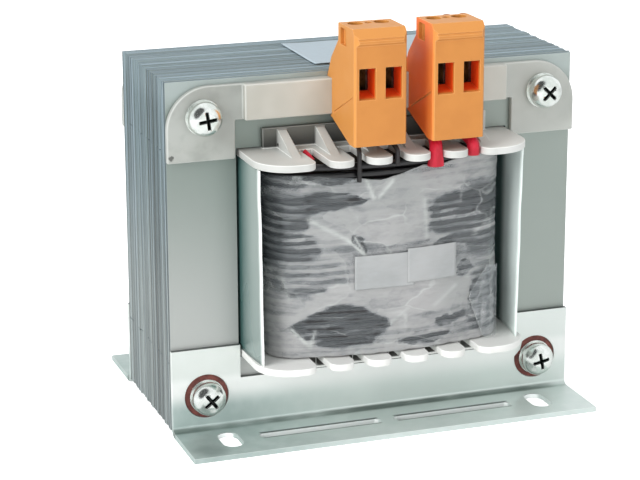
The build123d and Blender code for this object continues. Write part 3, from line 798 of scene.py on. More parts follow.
def grown_mesh(base_mesh, name, grow, values):
    """The mesh that a tree of geometry nodes grows from a base mesh, with values for its named inputs."""
    inputs = {"Geometry": None, **values}
    t, start, end = node_tree(name, "GeometryNodeTree", inputs, {"Geometry": None})
    real = t.geo("RealizeInstances", Geometry=grow(t, start))
    t.join(t.geo("SetMaterial", Geometry=real, Material=start["Material"]), end["Geometry"])
    base = new_object("base", base_mesh)
    modifier = base.modifiers.new("grow", "NODES")
    modifier.node_group = t.tree
    for item in t.tree.interface.items_tree:
        if item.in_out == "INPUT" and item.name in values:
            modifier[item.identifier] = values[item.name]
    mesh = evaluated_mesh(base)
    base.modifiers.remove(modifier)
    bpy.data.objects.remove(base)
    return mesh


def rounded_copy(node, width, segments=2):
    """A CAD node's mesh with its triangles joined into flat faces and its sharp edges rounded."""
    shape = bmesh.new()
    shape.from_mesh(nodes[node].data)
    bmesh.ops.remove_doubles(shape, verts=shape.verts, dist=merge_within)
    bmesh.ops.dissolve_limit(shape, angle_limit=flat_within, verts=shape.verts[:], edges=shape.edges[:])
    shape.verts.index_update()
    points = [v.co.copy() for v in shape.verts]
    faces = [[v.index for v in face.verts] for face in shape.faces]
    shape.free()
    flat_mesh = mesh_from(node + "_rounded", points, faces)
    # One empty material slot for the flat faces and one for the rounded edges
    flat_mesh.materials.append(None)
    flat_mesh.materials.append(None)
    holder = new_object("rounding", flat_mesh)
    bevel = holder.modifiers.new("round", "BEVEL")
    bevel.limit_method = "ANGLE"
    bevel.angle_limit = round_from
    bevel.width = width
    bevel.segments = segments
    bevel.use_clamp_overlap = False
    bevel.material = 1
    weighted = holder.modifiers.new("flat", "WEIGHTED_NORMAL")
    weighted.weight = flat_weight
    mesh = evaluated_mesh(holder)
    bpy.data.objects.remove(holder)
    mark_rims(mesh)
    return mesh


def mark_rims(mesh):
    """Marks the points within a rounded edge, told by the material index of the faces around them."""
    flat = np.zeros(len(mesh.vertices))
    for face in mesh.polygons:
        if face.material_index == 0:
            flat[list(face.vertices)] = 1.0
        face.material_index = 0
    mesh.materials.clear()
    point_values(mesh, "rim", 1.0 - flat)


def shell(rows, columns, place, is_ring=False):
    """Points, faces and point values of a thin closed shell over a grid of rows and columns.

    For a row and a column, place gives the outer point, the inner point and the values there.
    """
    cells = [place(row, column) for row in range(rows) for column in range(columns)]
    outer, inner, values = zip(*cells)
    back, top = rows * columns, (rows - 1) * columns
    last = columns if is_ring else columns - 1
    faces = []
    for low in range(0, top, columns):
        high = low + columns
        for j in range(last):
            k = (j + 1) % columns
            corners = (low + j, low + k, high + k, high + j)
            faces.append(corners)
            faces.append(tuple(back + corner for corner in reversed(corners)))
    for j in range(last):
        k = (j + 1) % columns
        faces.append((back + j, back + k, k, j))
        faces.append((top + j, top + k, back + top + k, back + top + j))
    if not is_ring:
        for low in range(0, top, columns):
            high = low + columns
            end_low, end_high = low + last, high + last
            faces.append((low, high, back + high, back + low))
            faces.append((back + end_low, back + end_high, end_high, end_low))
    return outer + inner, faces, [list(level) * 2 for level in zip(*values)]


# Core of stacked sheets

def stacked_sheets(t, start):
    """Fills the outlines of an E and an I sheet, thickens and stacks them, every second packet turned."""
    pitch = start["Pitch"]
    blank = t.geo("FillCurve", {"mode": "NGONS"}, Curve=t.geo("MeshToCurve", Mesh=start["Geometry"]))
    thickness = t.both(pitch, start["Filled Share"])
    drawn = t.geo("ExtrudeMesh", Mesh=blank, Offset_Scale=thickness, Individual=False)
    edged = t.geo("StoreNamedAttribute", {"data_type": "FLOAT", "domain": "FACE"}, Geometry=drawn,
                  Selection=drawn.node.outputs["Side"], Name="cut_edge", Value=1.0)
    closed = t.geo("JoinGeometry", Geometry=edged)
    t.join(t.geo("FlipFaces", Mesh=blank), closed.node.inputs[0])
    sheet = t.geo("MergeByDistance", Geometry=closed, Distance=sheet_merge)
    upright = t.geo("Transform", Geometry=sheet, Rotation=(pi / 2, 0.0, 0.0))

    index = t.geo("InputIndex")
    half = t.both(start["Sheets"], pitch, 0.5)
    first = t.arrow(0.0, t.math("SUBTRACT", pitch, half), start["Middle Height"])
    step = t.arrow(0.0, pitch, 0.0)
    line = t.geo("MeshLine", {"mode": "OFFSET"}, Count=start["Sheets"], Start_Location=first, Offset=step)
    packet = t.math("FLOOR", t.math("DIVIDE", index, start["Packet Sheets"]))
    turn = t.arrow(0.0, t.both(t.math("MODULO", packet, 2.0), pi), 0.0)
    stack = t.geo("InstanceOnPoints", Points=line, Instance=upright, Rotation=turn)

    def chance(group, added, low=0.0, high=1.0):
        """A random number for each group of sheets, from the tree's seed and a number added to it."""
        seed = t.math("ADD", start["Seed"], added)
        ends = {2: low, 3: high, "ID": group, "Seed": seed}
        return t.add("FunctionNodeRandomValue", ends, data_type="FLOAT").outputs[1]

    moved_on = t.math("ADD", index, chance(packet, 9.0, 0.0, band_drift))
    band = t.math("FLOOR", t.math("DIVIDE", moved_on, start["Band Sheets"]))
    part_band = t.math("FLOOR", t.math("DIVIDE", index, t.both(start["Band Sheets"], half_band)))

    def shift(added):
        broad = t.both(chance(band, added, -1.0, 1.0), start["Band Shift"])
        single = t.both(chance(index, added + 1.0, -1.0, 1.0), start["Sheet Shift"])
        return t.math("ADD", broad, single)

    offset = t.arrow(shift(11.0), 0.0, shift(21.0))
    shifted = t.geo("TranslateInstances", Instances=stack, Translation=offset, Local_Space=False)
    tone = t.both(chance(band, 31.0), band_tone)
    tone = t.math("ADD", tone, t.both(chance(part_band, 41.0), half_band_tone))
    tone = t.math("ADD", tone, t.both(chance(index, 51.0), single_tone))
    return t.geo("StoreNamedAttribute", {"data_type": "FLOAT", "domain": "INSTANCE"}, Geometry=shifted,
                 Name="sheet_tone", Value=tone)


def core_sheet_loops():
    """Outlines of an E sheet, the I sheet under it and their bolt holes, about the core's middle."""
    unit = core_module
    inset = band_shift + sheet_shift
    wide, tall = 3 * unit - inset, 2.5 * unit - inset
    leg_end, joint_top = -1.5 * unit + core_joint / 2, -1.5 * unit - core_joint / 2
    window_top = 1.5 * unit
    e_sheet = [
        (-wide, tall), (-wide, leg_end), (-2 * unit, leg_end), (-2 * unit, window_top),
        (-unit, window_top), (-unit, leg_end), (unit, leg_end), (unit, window_top),
        (2 * unit, window_top), (2 * unit, leg_end), (wide, leg_end), (wide, tall),
    ]
    i_sheet = [(-wide, -tall), (wide, -tall), (wide, joint_top), (-wide, joint_top)]
    turns = [2 * pi * i / core_hole_sides for i in range(core_hole_sides)]
    holes = [
        [(x + core_hole / 2 * cos(turn), z + core_hole / 2 * sin(turn)) for turn in turns]
        for x in (-2.5 * unit, 2.5 * unit) for z in (-2 * unit, 2 * unit)
    ]
    return [e_sheet, i_sheet] + holes


def core_sheets():
    values = {
        "Sheets": sheet_count,
        "Pitch": core_depth / sheet_count,
        "Filled Share": sheet_share,
        "Packet Sheets": packet_sheets,
        "Band Sheets": band_sheets,
        "Band Shift": band_shift,
        "Sheet Shift": sheet_shift,
        "Middle Height": core_middle,
        "Seed": 5,
        "Material": finishes["core_steel"],
    }
    outlines = outline_mesh("core_sheet_outlines", core_sheet_loops())
    stacked = grown_mesh(outlines, "stacked_core_sheets", stacked_sheets, values)
    new_piece("core_sheets", stacked, "core_steel", "e_laminations", "i_laminations")


# Winding

def wound_outline(inset):
    """Points around the winding, seen from above, inset from the film's outer face; it starts at the rear."""
    half_x, half_y = film_high.x - inset, film_high.y - winding_crown - inset
    corner = film_corner - inset
    flat_x, flat_y = half_x - corner, half_y - corner
    quarter = [pi / 2 * i / quarter_steps for i in range(quarter_steps)]
    along = [-1 + 2 * i / quarter_steps for i in range(quarter_steps)]
    front = [(u * flat_x, -half_y - winding_crown * (1 - u * u)) for u in along]
    right_corner = [(flat_x + corner * sin(a), -flat_y - corner * cos(a)) for a in quarter]
    right = [(half_x, u * flat_y) for u in along]
    rear_corner = [(flat_x + corner * cos(a), flat_y + corner * sin(a)) for a in quarter]
    half_way = front + right_corner + right + rear_corner
    loop = half_way + [(-x, -y) for x, y in half_way]
    start = len(half_way) + quarter_steps // 2
    loop = loop[start:] + loop[:start]
    lengths = [hypot(b[0] - a[0], b[1] - a[1]) for a, b in zip(loop, loop[1:] + loop[:1])]
    reached = np.concatenate([[0.0], np.cumsum(lengths)])
    wanted = np.linspace(0.0, reached[-1], outline_points, endpoint=False)
    closed = np.array(loop + loop[:1])
    return np.stack([np.interp(wanted, reached, closed[:, axis]) for axis in range(2)], axis=1)


def wound_turns(t, start):
    """Winds a wire round a loop, one turn above the other, and a little unevenly."""
    loop = t.geo("MeshToCurve", Mesh=start["Geometry"])
    level = t.math("SUBTRACT", 1.0, start["Crossover"])
    whole_turns = t.math("SUBTRACT", start["Turns"], start["Crossover"])
    count = t.math("ADD", t.both(whole_turns, start["Steps"]), 1.0)
    line = t.geo("MeshLine", {"mode": "OFFSET"}, Count=count, Offset=(0.0, 0.0, 1.0 * mm))
    turn = t.math("DIVIDE", t.geo("InputIndex"), start["Steps"])
    around = t.math("FRACT", turn)
    spot = t.geo("SampleCurve", {"mode": "FACTOR"}, Curves=loop, Factor=around).node
    flat = t.add("ShaderNodeSeparateXYZ", {0: spot.outputs["Position"]}).outputs
    ends = {"W": t.math("ADD", turn, start["Seed"]), "Scale": wire_drift, "Detail": 2.0}
    drift = t.add("ShaderNodeTexNoise", ends, noise_dimensions="1D").outputs["Fac"]
    layer = t.math("ADD", t.math("FLOOR", turn), t.ramp(around, level, 1.0))
    risen = t.math("ADD", start["Low"], t.both(layer, start["Pitch"]))
    height = t.math("ADD", risen, t.swing(drift, start["Unrest"]))
    placed = t.geo("SetPosition", Geometry=line, Position=t.arrow(flat[0], flat[1], height))
    route = t.geo("MeshToCurve", Mesh=placed)
    section = t.geo("CurvePrimitiveCircle", Resolution=start["Sides"], Radius=t.both(start["Wire"], 0.5))
    return t.geo("CurveToMesh", Curve=route, Profile_Curve=section, Fill_Caps=True)


def wound_wire():
    values = {
        "Turns": turn_count,
        "Steps": wire_steps,
        "Wire": wire,
        "Pitch": turn_pitch,
        "Low": first_turn,
        "Unrest": wire_unrest,
        "Crossover": wire_crossover,
        "Sides": wire_sides,
        "Seed": 4,
        "Material": finishes["enamelled_wire"],
    }
    outline = outline_mesh("wound_outline", [wound_outline(film_sheet + wire / 2)])
    wound = grown_mesh(outline, "wound_turns", wound_turns, values)
    wound.shade_smooth()
    new_piece("wound_wire", wound, "enamelled_wire", "secondary_winding")


# Film around the winding. Its marks are given in millimetres as x along the front and height.

film_top_edge = [
    (-36.0, 75.0), (-28.8, 75.7), (-21.3, 75.1), (-14.0, 74.4), (-9.8, 74.1), (-4.4, 73.2),
    (1.7, 74.7), (8.0, 76.4), (13.8, 76.0), (19.6, 77.3), (26.7, 77.6), (36.0, 77.2),
]
film_bottom = 23.7
edge_length = 3.0
rear_apart = 40.0
film_top = 77.4

# Milky and clear patches, one over the other: shape, x, height, half width, half height, tilt, milkiness
film_patches = [
    ("block", -27.0, 74.0, 9.0, 2.6, 0.0, 0.34),
    ("block", -28.8, 59.5, 7.2, 10.5, 0.0, 0.24),
    ("block", 28.5, 59.0, 6.5, 11.0, 0.0, 0.44),
    ("block", 21.0, 61.8, 10.5, 5.6, 4.0, 0.16),
    ("lens", 20.0, 54.2, 9.0, 1.6, 6.0, 0.30),
    ("block", -24.0, 46.5, 10.0, 4.6, 0.0, 0.54),
    ("block", -0.5, 64.5, 9.0, 10.0, 0.0, 0.84),
    ("block", -16.5, 71.5, 9.0, 1.7, 0.0, 0.80),
    ("block", -17.0, 61.5, 8.0, 3.8, 0.0, 0.82),
    ("lens", -19.3, 68.0, 11.8, 2.2, -1.0, -0.04),
    ("lens", -19.0, 74.4, 8.0, 1.5, 0.0, 0.10),
    ("lens", -10.6, 55.8, 3.0, 1.3, -42.0, 0.14),
    ("block", 3.0, 39.5, 24.0, 5.6, 2.0, 0.92),
    ("oval", -20.0, 38.6, 9.5, 3.2, 26.0, 0.88),
    ("lens", -24.5, 43.0, 6.0, 1.6, 8.0, 0.34),
    ("oval", -29.5, 30.5, 5.5, 5.5, 0.0, 0.80),
    ("lens", -14.8, 32.0, 14.4, 6.0, -2.0, -0.06),
    ("block", 12.0, 29.6, 13.0, 4.2, 3.0, 0.70),
    ("lens", 8.5, 26.6, 8.5, 1.9, 4.0, 0.20),
    ("lens", 18.0, 31.2, 7.0, 1.5, 6.0, 0.24),
    ("block", 28.5, 35.0, 5.5, 9.0, 0.0, 0.42),
    ("oval", 21.5, 45.0, 3.0, 2.2, 0.0, 0.34),
    ("block", 26.0, 74.0, 8.0, 3.6, 0.0, 0.74),
    ("block", 0.0, 23.4, 36.0, 1.5, 0.0, 0.80),
]
film_rest_haze = 0.70
patch_rim = 1.13
patch_softness = 0.26

# Creases, each from one point to another, with its strength
film_creases = [
    (-24.6, 63.3, -13.9, 57.1, 0.7), (-13.9, 57.1, -9.2, 52.6, 1.0), (-11.6, 57.4, -8.8, 52.4, 0.8),
    (-8.7, 73.8, -6.4, 68.5, 0.9), (-1.0, 72.8, -4.8, 68.6, 0.8), (-29.0, 32.0, -24.0, 26.7, 0.9),
    (-24.0, 26.7, -22.6, 31.0, 0.7), (8.6, 66.4, 9.4, 56.0, 0.5), (30.5, 60.5, 30.0, 55.0, 0.5),
    (-31.5, 48.0, -29.5, 41.0, 0.5), (-2.0, 31.6, 4.0, 36.0, 0.4), (12.0, 35.5, 18.5, 40.5, 0.35),
]

# The stiff flap of the film's end: x and height of its slanted edge's foot, middle and top, then the rest
flap_edge_x = (27.5, 22.7, 28.6)
flap_edge_z = (24.2, 36.6, 45.4)
flap_far_x = 31.4
flap_folds = (26.9, 29.4)
flap_fold_width = 0.25
flap_fold_crease = 0.45
flap_edge_crease = 0.6
flap_edges = (0.03, 0.985)
flap_gap = 0.45
flap_bulge = 0.7
flap_ripple = 0.3
flap_haze = 0.22
flap_streaks = 0.35
flap_steps = 40


def waves(x, z, width, height, layer):
    """A smooth noise over a sheet, from a width and a height of its waves and a layer of its own."""
    return noise.noise(Vector((x / width, z / height, layer)))


def patch_share(shape, across, up):
    """How far a point lies inside a patch, 0 to 1, from its place in the patch's own half sizes."""
    if shape == "lens":
        reach = across * across + abs(up)
    elif shape == "block":
        reach = (across ** 4 + up ** 4) ** 0.25
    else:
        reach = hypot(across, up)
    share = min(max((patch_rim - reach) / patch_softness, 0.0), 1.0)
    return share * share * (3 - 2 * share)


def film_haze(x, z, is_front):
    """How milky the film is at a place, 0 to 1."""
    haze = film_rest_haze + 0.22 * waves(x, z, 9, 4, 3.0 if is_front else 8.0)
    if not is_front:
        return haze + 0.35 * waves(x, z, 16, 9, 15.0)
    stray_x = 1.4 * waves(x, z, 5, 3, 21.0) + 0.9 * waves(x, z, 2, 1.2, 23.0)
    stray_z = 0.9 * waves(x, z, 5, 4, 31.0) + 0.4 * waves(x, z, 2, 1.6, 33.0)
    for shape, middle, height, half_width, half_height, tilt, level in film_patches:
        across, up = x + stray_x - middle, z + stray_z - height
        turn = radians(tilt)
        along = (across * cos(turn) + up * sin(turn)) / half_width
        beside = (up * cos(turn) - across * sin(turn)) / half_height
        haze += patch_share(shape, along, beside) * (level - haze)
    return haze


def film_crease(x, z, is_front):
    """How strongly the film is creased at a place, 0 to 1."""
    if not is_front:
        return 0.0
    strongest = 0.0
    for x0, z0, x1, z1, strength in film_creases:
        run_x, run_z = x1 - x0, z1 - z0
        share = ((x - x0) * run_x + (z - z0) * run_z) / (run_x ** 2 + run_z ** 2)
        share = min(max(share, 0.0), 1.0)
        away = hypot(x - x0 - share * run_x, z - z0 - share * run_z) * mm
        strongest = max(strongest, strength * exp(-(away / crease_width) ** 2))
    return strongest


def film_lift(x, z, haze, crease):
    """How far the film stands off the winding."""
    wave = waves(x, z, 7, 5, 2.0) + 0.5 * waves(x, z, 2.6, 2.2, 5.0)
    return film_swell * (haze - 0.5) + film_wave * wave + crease_rise * crease


def front_of_film(x):
    """Distance of the film's outer face in front of the core's middle, at a place along its front."""
    flat = film_high.x - film_corner
    return film_high.y - winding_crown * min(1.0, (x / flat) ** 2)


def film_wrap():
    """The film as a closed shell around the winding, with its flap."""
    outline = wound_outline(film_sheet / 2)
    tangent = np.roll(outline, -1, axis=0) - np.roll(outline, 1, axis=0)
    normal = np.stack([tangent[:, 1], -tangent[:, 0]], axis=1)
    normal /= np.linalg.norm(normal, axis=1, keepdims=True)
    edge_x, edge_z = zip(*film_top_edge)

    def place(row, column):
        (x, y), (nx, ny) = outline[column], normal[column]
        flat_x, is_front = x / mm, y < 0
        side = 0.0 if is_front else rear_apart
        ripple = edge_wave / mm * noise.noise(Vector((flat_x / edge_length + side, 1.0, 7.0)))
        low = film_bottom + ripple
        high = (np.interp(flat_x, edge_x, edge_z) if is_front else film_top) + 0.5 * ripple
        z = low + (high - low) * row / film_rows
        haze, crease = film_haze(flat_x, z, is_front), film_crease(flat_x, z, is_front)
        lift = film_lift(flat_x + side, z, haze, crease)
        inset = lift - film_gauge
        outer = (x + nx * lift, y + ny * lift, z * mm)
        inner = (x + nx * inset, y + ny * inset, z * mm)
        return outer, inner, (haze, crease)

    points, faces, values = shell(film_rows + 1, outline_points, place, is_ring=True)
    flap_points, flap_faces, flap_values = film_flap()
    mesh = joined("film", [(points, faces), (flap_points, flap_faces)])
    for name, wrapped, loose in zip(("haze", "crease"), values, flap_values):
        point_values(mesh, name, wrapped + loose)
    point_values(mesh, "cling", [1.0] * len(points) + [0.0] * len(flap_points))
    new_piece("film", mesh, "clear_film", "film_wrap")


def film_flap():
    """The film's stiff end at the lower right, standing clear of the winding's corner."""
    foot, top = flap_edge_z[0], flap_edge_z[-1]

    def place(row, column):
        z = foot + (top - foot) * row / flap_steps
        left = float(np.interp(z, flap_edge_z, flap_edge_x))
        share = column / flap_steps
        x = left + (flap_far_x - left) * share
        bulge = flap_ripple * waves(x, z, 3, 9, 12.0) + flap_bulge * sin(pi * share)
        y = -front_of_film(x * mm) - (flap_gap + max(bulge, 0.0)) * mm
        near_fold = min(abs(x - fold) for fold in flap_folds)
        is_edge = share < flap_edges[0] or share > flap_edges[1]
        fold = flap_fold_crease * exp(-(near_fold / flap_fold_width) ** 2)
        # The flap's edges take the crease white as a painted highlight
        crease = flap_edge_crease if is_edge else fold
        haze = flap_haze + flap_streaks * waves(x, z, 1.5, 9, 2.0)
        return (x * mm, y - film_gauge, z * mm), (x * mm, y, z * mm), (haze, crease)

    return shell(flap_steps + 1, flap_steps + 1, place)


# Blank papers. Sheets of the coil's label, in millimetres: left, right, low, high, layer
coil_papers = [(-11.9, 5.6, 42.6, 52.2, 0), (3.4, 18.4, 43.4, 53.2, 1)]


def coil_paper(left, right, low, high, layer):
    """A paper that follows the waves of the film under it."""
    def place(row, column):
        x = left + (right - left) * column / coil_paper_steps
        z = low + (high - low) * row / coil_paper_steps
        lift = film_lift(x, z, film_haze(x, z, True), 0.0)
        lift = max(lift, 0.0) * paper_follow + paper_lift + film_sheet / 2 + layer * paper_layer
        y = -front_of_film(x * mm) - lift
        return (x * mm, y - paper, z * mm), (x * mm, y, z * mm), ()

    return shell(coil_paper_steps + 1, coil_paper_steps + 1, place)[:2]


def coil_label():
    mesh = joined("coil_papers", [coil_paper(*sizes) for sizes in coil_papers])
    new_piece("coil_papers", mesh, "label_paper", "coil_label")


def core_label():
    """The paper on the top yoke, with its edges a little lifted."""
    size = top_paper_high - top_paper_low

    def place(row, column):
        u, v = column / yoke_paper_steps, row / yoke_paper_steps
        x, y = top_paper_low.x + size.x * u, top_paper_low.y + size.y * v
        near_edge = max(abs(2 * u - 1), abs(2 * v - 1)) ** paper_edge_power
        lift = paper_edge_lift * near_edge * (0.5 + waves(x / mm, y / mm, 9, 9, 4.0))
        z = top_paper_low.z + max(lift, 0.0)
        return (x, y, z + paper), (x, y, z), ()

    mesh = joined("yoke_paper", [shell(yoke_paper_steps + 1, yoke_paper_steps + 1, place)[:2]])
    new_piece("yoke_paper", mesh, "label_paper", "core_label")


# Loose sheets between the winding and the outer legs: side, lean of the free edge at the top and at the foot
side_sheet_leans = [("left", -1, 0.5 * mm, 1.1 * mm), ("right", 1, 1.0 * mm, 2.0 * mm)]


def loose_sheet(name, side, lean_top, lean_foot):
    """A sheet whose free edges lean towards the winding, with a value for its cut rim."""
    node = "side_sheet_" + name
    low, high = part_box(node)
    middle_x = side * (abs(low.x) + abs(high.x)) / 2
    half = side * side_sheet / 2

    def place(row, column):
        u, v = 2 * column / side_sheet_steps - 1, row / side_sheet_steps
        y, z = u * high.y, low.z + (high.z - low.z) * v
        free = max(abs(y) - core_high.y, 0.0) / (high.y - core_high.y)
        lean = (lean_foot + (lean_top - lean_foot) * v) * free ** side_sheet_bow
        ripple = side_sheet_ripple * free * noise.noise(Vector((z / mm / 11, side * 3.0, u)))
        x = middle_x - side * max(lean + ripple, 0.0)
        rim = min(max((abs(u) - side_rim_from) / side_rim_soft, 0.0), 1.0)
        return (x + half, y, z), (x - half, y, z), (rim,)

    points, faces, (rims,) = shell(side_sheet_steps + 1, side_sheet_steps + 1, place)
    mesh = joined(node + "_bowed", [(points, faces)])
    point_values(mesh, "rim", rims)
    new_piece("loose_sheet_" + name, mesh, "milky_sheet", node)


def side_sheets():
    for row in side_sheet_leans:
        loose_sheet(*row)


# Leads

def smooth_route(points, steps=12):
    """Points along a smooth NURBS line through the places of a route."""
    curve = bpy.data.curves.new("route", "CURVE")
    curve.dimensions = "3D"
    curve.resolution_u = steps
    spline = curve.splines.new("NURBS")
    spline.points.add(len(points) - 1)
    for end, place in zip(spline.points, points):
        end.co = (*place, 1.0)
    spline.order_u = 3
    spline.use_endpoint_u = True
    holder = new_object("route", curve)
    mesh = evaluated_mesh(holder)
    line = [v.co.copy() for v in mesh.vertices]
    bpy.data.objects.remove(holder)
    return line


def tube(line, radii):
    """A closed tube along a line, with a half width and a half depth at each of its points."""
    points, faces = [], []
    last = len(line) - 1
    for i, (place, (wide, thick)) in enumerate(zip(line, radii)):
        along = (line[min(i + 1, last)] - line[max(i - 1, 0)]).normalized()
        across = Vector((1, 0, 0))
        across = (across - along * across.dot(along)).normalized()
        deep = along.cross(across)
        for k in range(tube_sides):
            turn = 2 * pi * k / tube_sides
            points.append(place + across * wide * cos(turn) + deep * thick * sin(turn))
    for low in range(0, last * tube_sides, tube_sides):
        high = low + tube_sides
        for k in range(tube_sides):
            after = (k + 1) % tube_sides
            faces.append((low + k, low + after, high + after, high + k))
    faces.append(tuple(range(tube_sides))[::-1])
    faces.append(tuple(last * tube_sides + k for k in range(tube_sides)))
    return points, faces


def round_tube(line, width):
    return tube(line, [(width / 2, width / 2)] * len(line))


def lead_places(housing):
    """The poles of a block, each with the finger gap that its lead passes through, and its underside."""
    low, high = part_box(housing)
    middle = (low.x + high.x) / 2
    gaps = [finger_pitch * (i - (finger_gaps - 1) / 2) for i in range(finger_gaps)]
    poles = (middle - pole_pitch / 2, middle + pole_pitch / 2)
    return [(pole, min(gaps, key=lambda gap: abs(gap - pole))) for pole in poles], low.z


def lead_line(pole, gap, box, radius, under, bottom):
    """From under a clamp down through a gap between fingers to the front of the winding."""
    low, high = box
    back, front = high.y - radius, low.y + radius
    return smooth_route([
        (pole, back, high.z),
        (pole, back, under + 1.0 * mm),
        (gap, front, flange_top + turn_above_flange),
        (gap, front, flange_top - held_below_flange),
        (gap, front, bottom),
    ])


def leads():
    pairs, under = lead_places("terminal_housing_left")
    bottoms = (leads_box[0].z, flange_top - lead_end)
    lines = [lead_line(pole, gap, leads_box, lead / 2, under, bottom)
             for (pole, gap), bottom in zip(pairs, bottoms)]
    mesh = joined("black_leads", [round_tube(line, lead) for line in lines])
    new_piece("black_leads", mesh, "black_insulation", "primary_leads")


# Spread at the end of each sleeve, and the height of that end
sleeve_ends = ((0.6 * mm, sleeves_box[0].z - sleeve_tail), (0.1 * mm, flange_top - sleeve_end))

# The sleeved start of the winding, above the left of the flange, in millimetres
start_route = ((-23.0, -29.6, 80.4), (-22.0, -30.4, 79.6), (-21.1, -31.6, 78.0))
start_sleeve = 1.5 * mm


def sleeves():
    """Red sleeves with faint pleats, passing between the fingers, the first one spread below them."""
    pairs, under = lead_places("terminal_housing_right")
    tubes, cores = [], []
    for (pole, gap), (spread, bottom) in zip(pairs, sleeve_ends):
        line = lead_line(pole, gap, sleeves_box, sleeve / 2, under, bottom)
        radii = []
        for i in range(len(line)):
            share = i / (len(line) - 1)
            pleat = sleeve_pleat * noise.noise(Vector((share * 9, pole / mm, 1.0)))
            flare = spread * max(0.0, (share - flare_from) / (1 - flare_from)) ** flare_power
            radii.append((sleeve / 2 + flare + pleat, sleeve / 2 + flare_depth * flare + pleat))
        tubes.append(tube(line, radii))
        inside = lead_line(pole, gap, wires_box, sleeve / 2, under, bottom + wire_inset)
        cores.append(round_tube(inside, sleeved_wire))
    route = [tuple(part * mm for part in place) for place in start_route]
    tubes.append(round_tube(smooth_route(route), start_sleeve))
    new_piece("red_sleeves", joined("red_sleeves", tubes), "red_sleeve", "lead_sleeves")
    new_piece("sleeved_wires", joined("sleeved_wires", cores), "enamelled_wire", "secondary_leads")


# Fasteners

def bolt_places(y):
    inset = core_module / 2
    xs = (core_low.x + inset, core_high.x - inset)
    zs = (core_low.z + inset, core_high.z - inset)
    return [Vector((x, y, z)) for z in zs for x in xs]


def from_axis(point, place):
    """Distance of a point from the axis of a bolt."""
    return hypot(point.x - place.x, point.z - place.z)


def bolts():
    """The bolts, with a mark inside the cross recess of each head, where the finish paints shade."""
    mesh = rounded_copy("through_bolts", 0.08 * mm)
    places = bolt_places(0.0)
    fronts = [min(v.co.y for v in mesh.vertices if from_axis(v.co, place) < bolt) for place in places]
    marks = []
    for v in mesh.vertices:
        away = [from_axis(v.co, place) for place in places]
        depth = v.co.y - fronts[away.index(min(away))]
        is_inside = min(away) < recess_reach and crown_drop < depth < recess_depth
        marks.append(1.0 if is_inside else 0.0)
    point_values(mesh, "recess", marks)
    new_piece("pan_head_bolts", mesh, "plated_fastener", "through_bolts")


def thread_ridges(t, start):
    """A fine ridge wound around the end of each bolt."""
    radius = start["Radius"]
    turns = t.math("DIVIDE", start["Length"], start["Pitch"])
    helix = t.geo("CurveSpiral", Resolution=thread_steps, Rotations=turns, Start_Radius=radius,
                  End_Radius=radius, Height=start["Length"])
    section = t.geo("CurvePrimitiveCircle", Resolution=thread_sides, Radius=start["Rise"])
    ridge = t.geo("CurveToMesh", Curve=helix, Profile_Curve=section, Fill_Caps=True)
    laid = t.geo("Transform", Geometry=ridge, Rotation=(-pi / 2, 0.0, 0.0))
    return t.geo("InstanceOnPoints", Points=start["Geometry"], Instance=laid)


def bolt_threads():
    places = bpy.data.meshes.new("thread_places")
    places.from_pydata([tuple(p) for p in bolt_places(nuts_end - thread_overlap)], [], [])
    values = {
        "Length": bolts_end - nuts_end - thread_end,
        "Radius": bolt / 2 - thread_rise * thread_sunk,
        "Pitch": thread_pitch,
        "Rise": thread_rise,
        "Material": finishes["plated_fastener"],
    }
    mesh = grown_mesh(places, "bolt_threads", thread_ridges, values)
    new_piece("bolt_threads", mesh, "plated_fastener")


def chamfered_nut(bottom, top, x, z):
    """Points and faces of a hexagon nut with turned corners, its axis along Y."""
    bore, face = nut_bore / 2, nut_flats / 2 * nut_face
    rings = [[], [], [], [], [], []]
    for k in range(nut_sides):
        turn = 2 * pi * k / nut_sides
        from_flat = (turn + pi / 6) % (pi / 3) - pi / 6
        corner = nut_flats / 2 / cos(from_flat)
        fall = max(corner - face, 0.0) * tan(nut_chamfer)
        spots = [(bore, bottom), (face, bottom), (corner, bottom + fall),
                 (corner, top - fall), (face, top), (bore, top)]
        for ring, (radius, y) in zip(rings, spots):
            ring.append(Vector((x + radius * cos(turn), y, z + radius * sin(turn))))
    points = [p for ring in rings for p in ring]
    faces = []
    for level in range(len(rings)):
        low, high = level * nut_sides, (level + 1) % len(rings) * nut_sides
        for k in range(nut_sides):
            after = (k + 1) % nut_sides
            faces.append((low + k, low + after, high + after, high + k))
    return points, faces


def nuts():
    """New nuts between the faces of the CAD ones."""
    shapes = []
    for place in bolt_places(0.0):
        near = [v.co.y for v in nodes["hex_nuts"].data.vertices if from_axis(v.co, place) < nut_flats]
        shapes.append(chamfered_nut(min(near), max(near), place.x, place.z))
    mesh = joined("nuts", shapes)
    mesh.set_sharp_from_angle(angle=nut_sharp)
    new_piece("nuts", mesh, "plated_fastener", "hex_nuts")


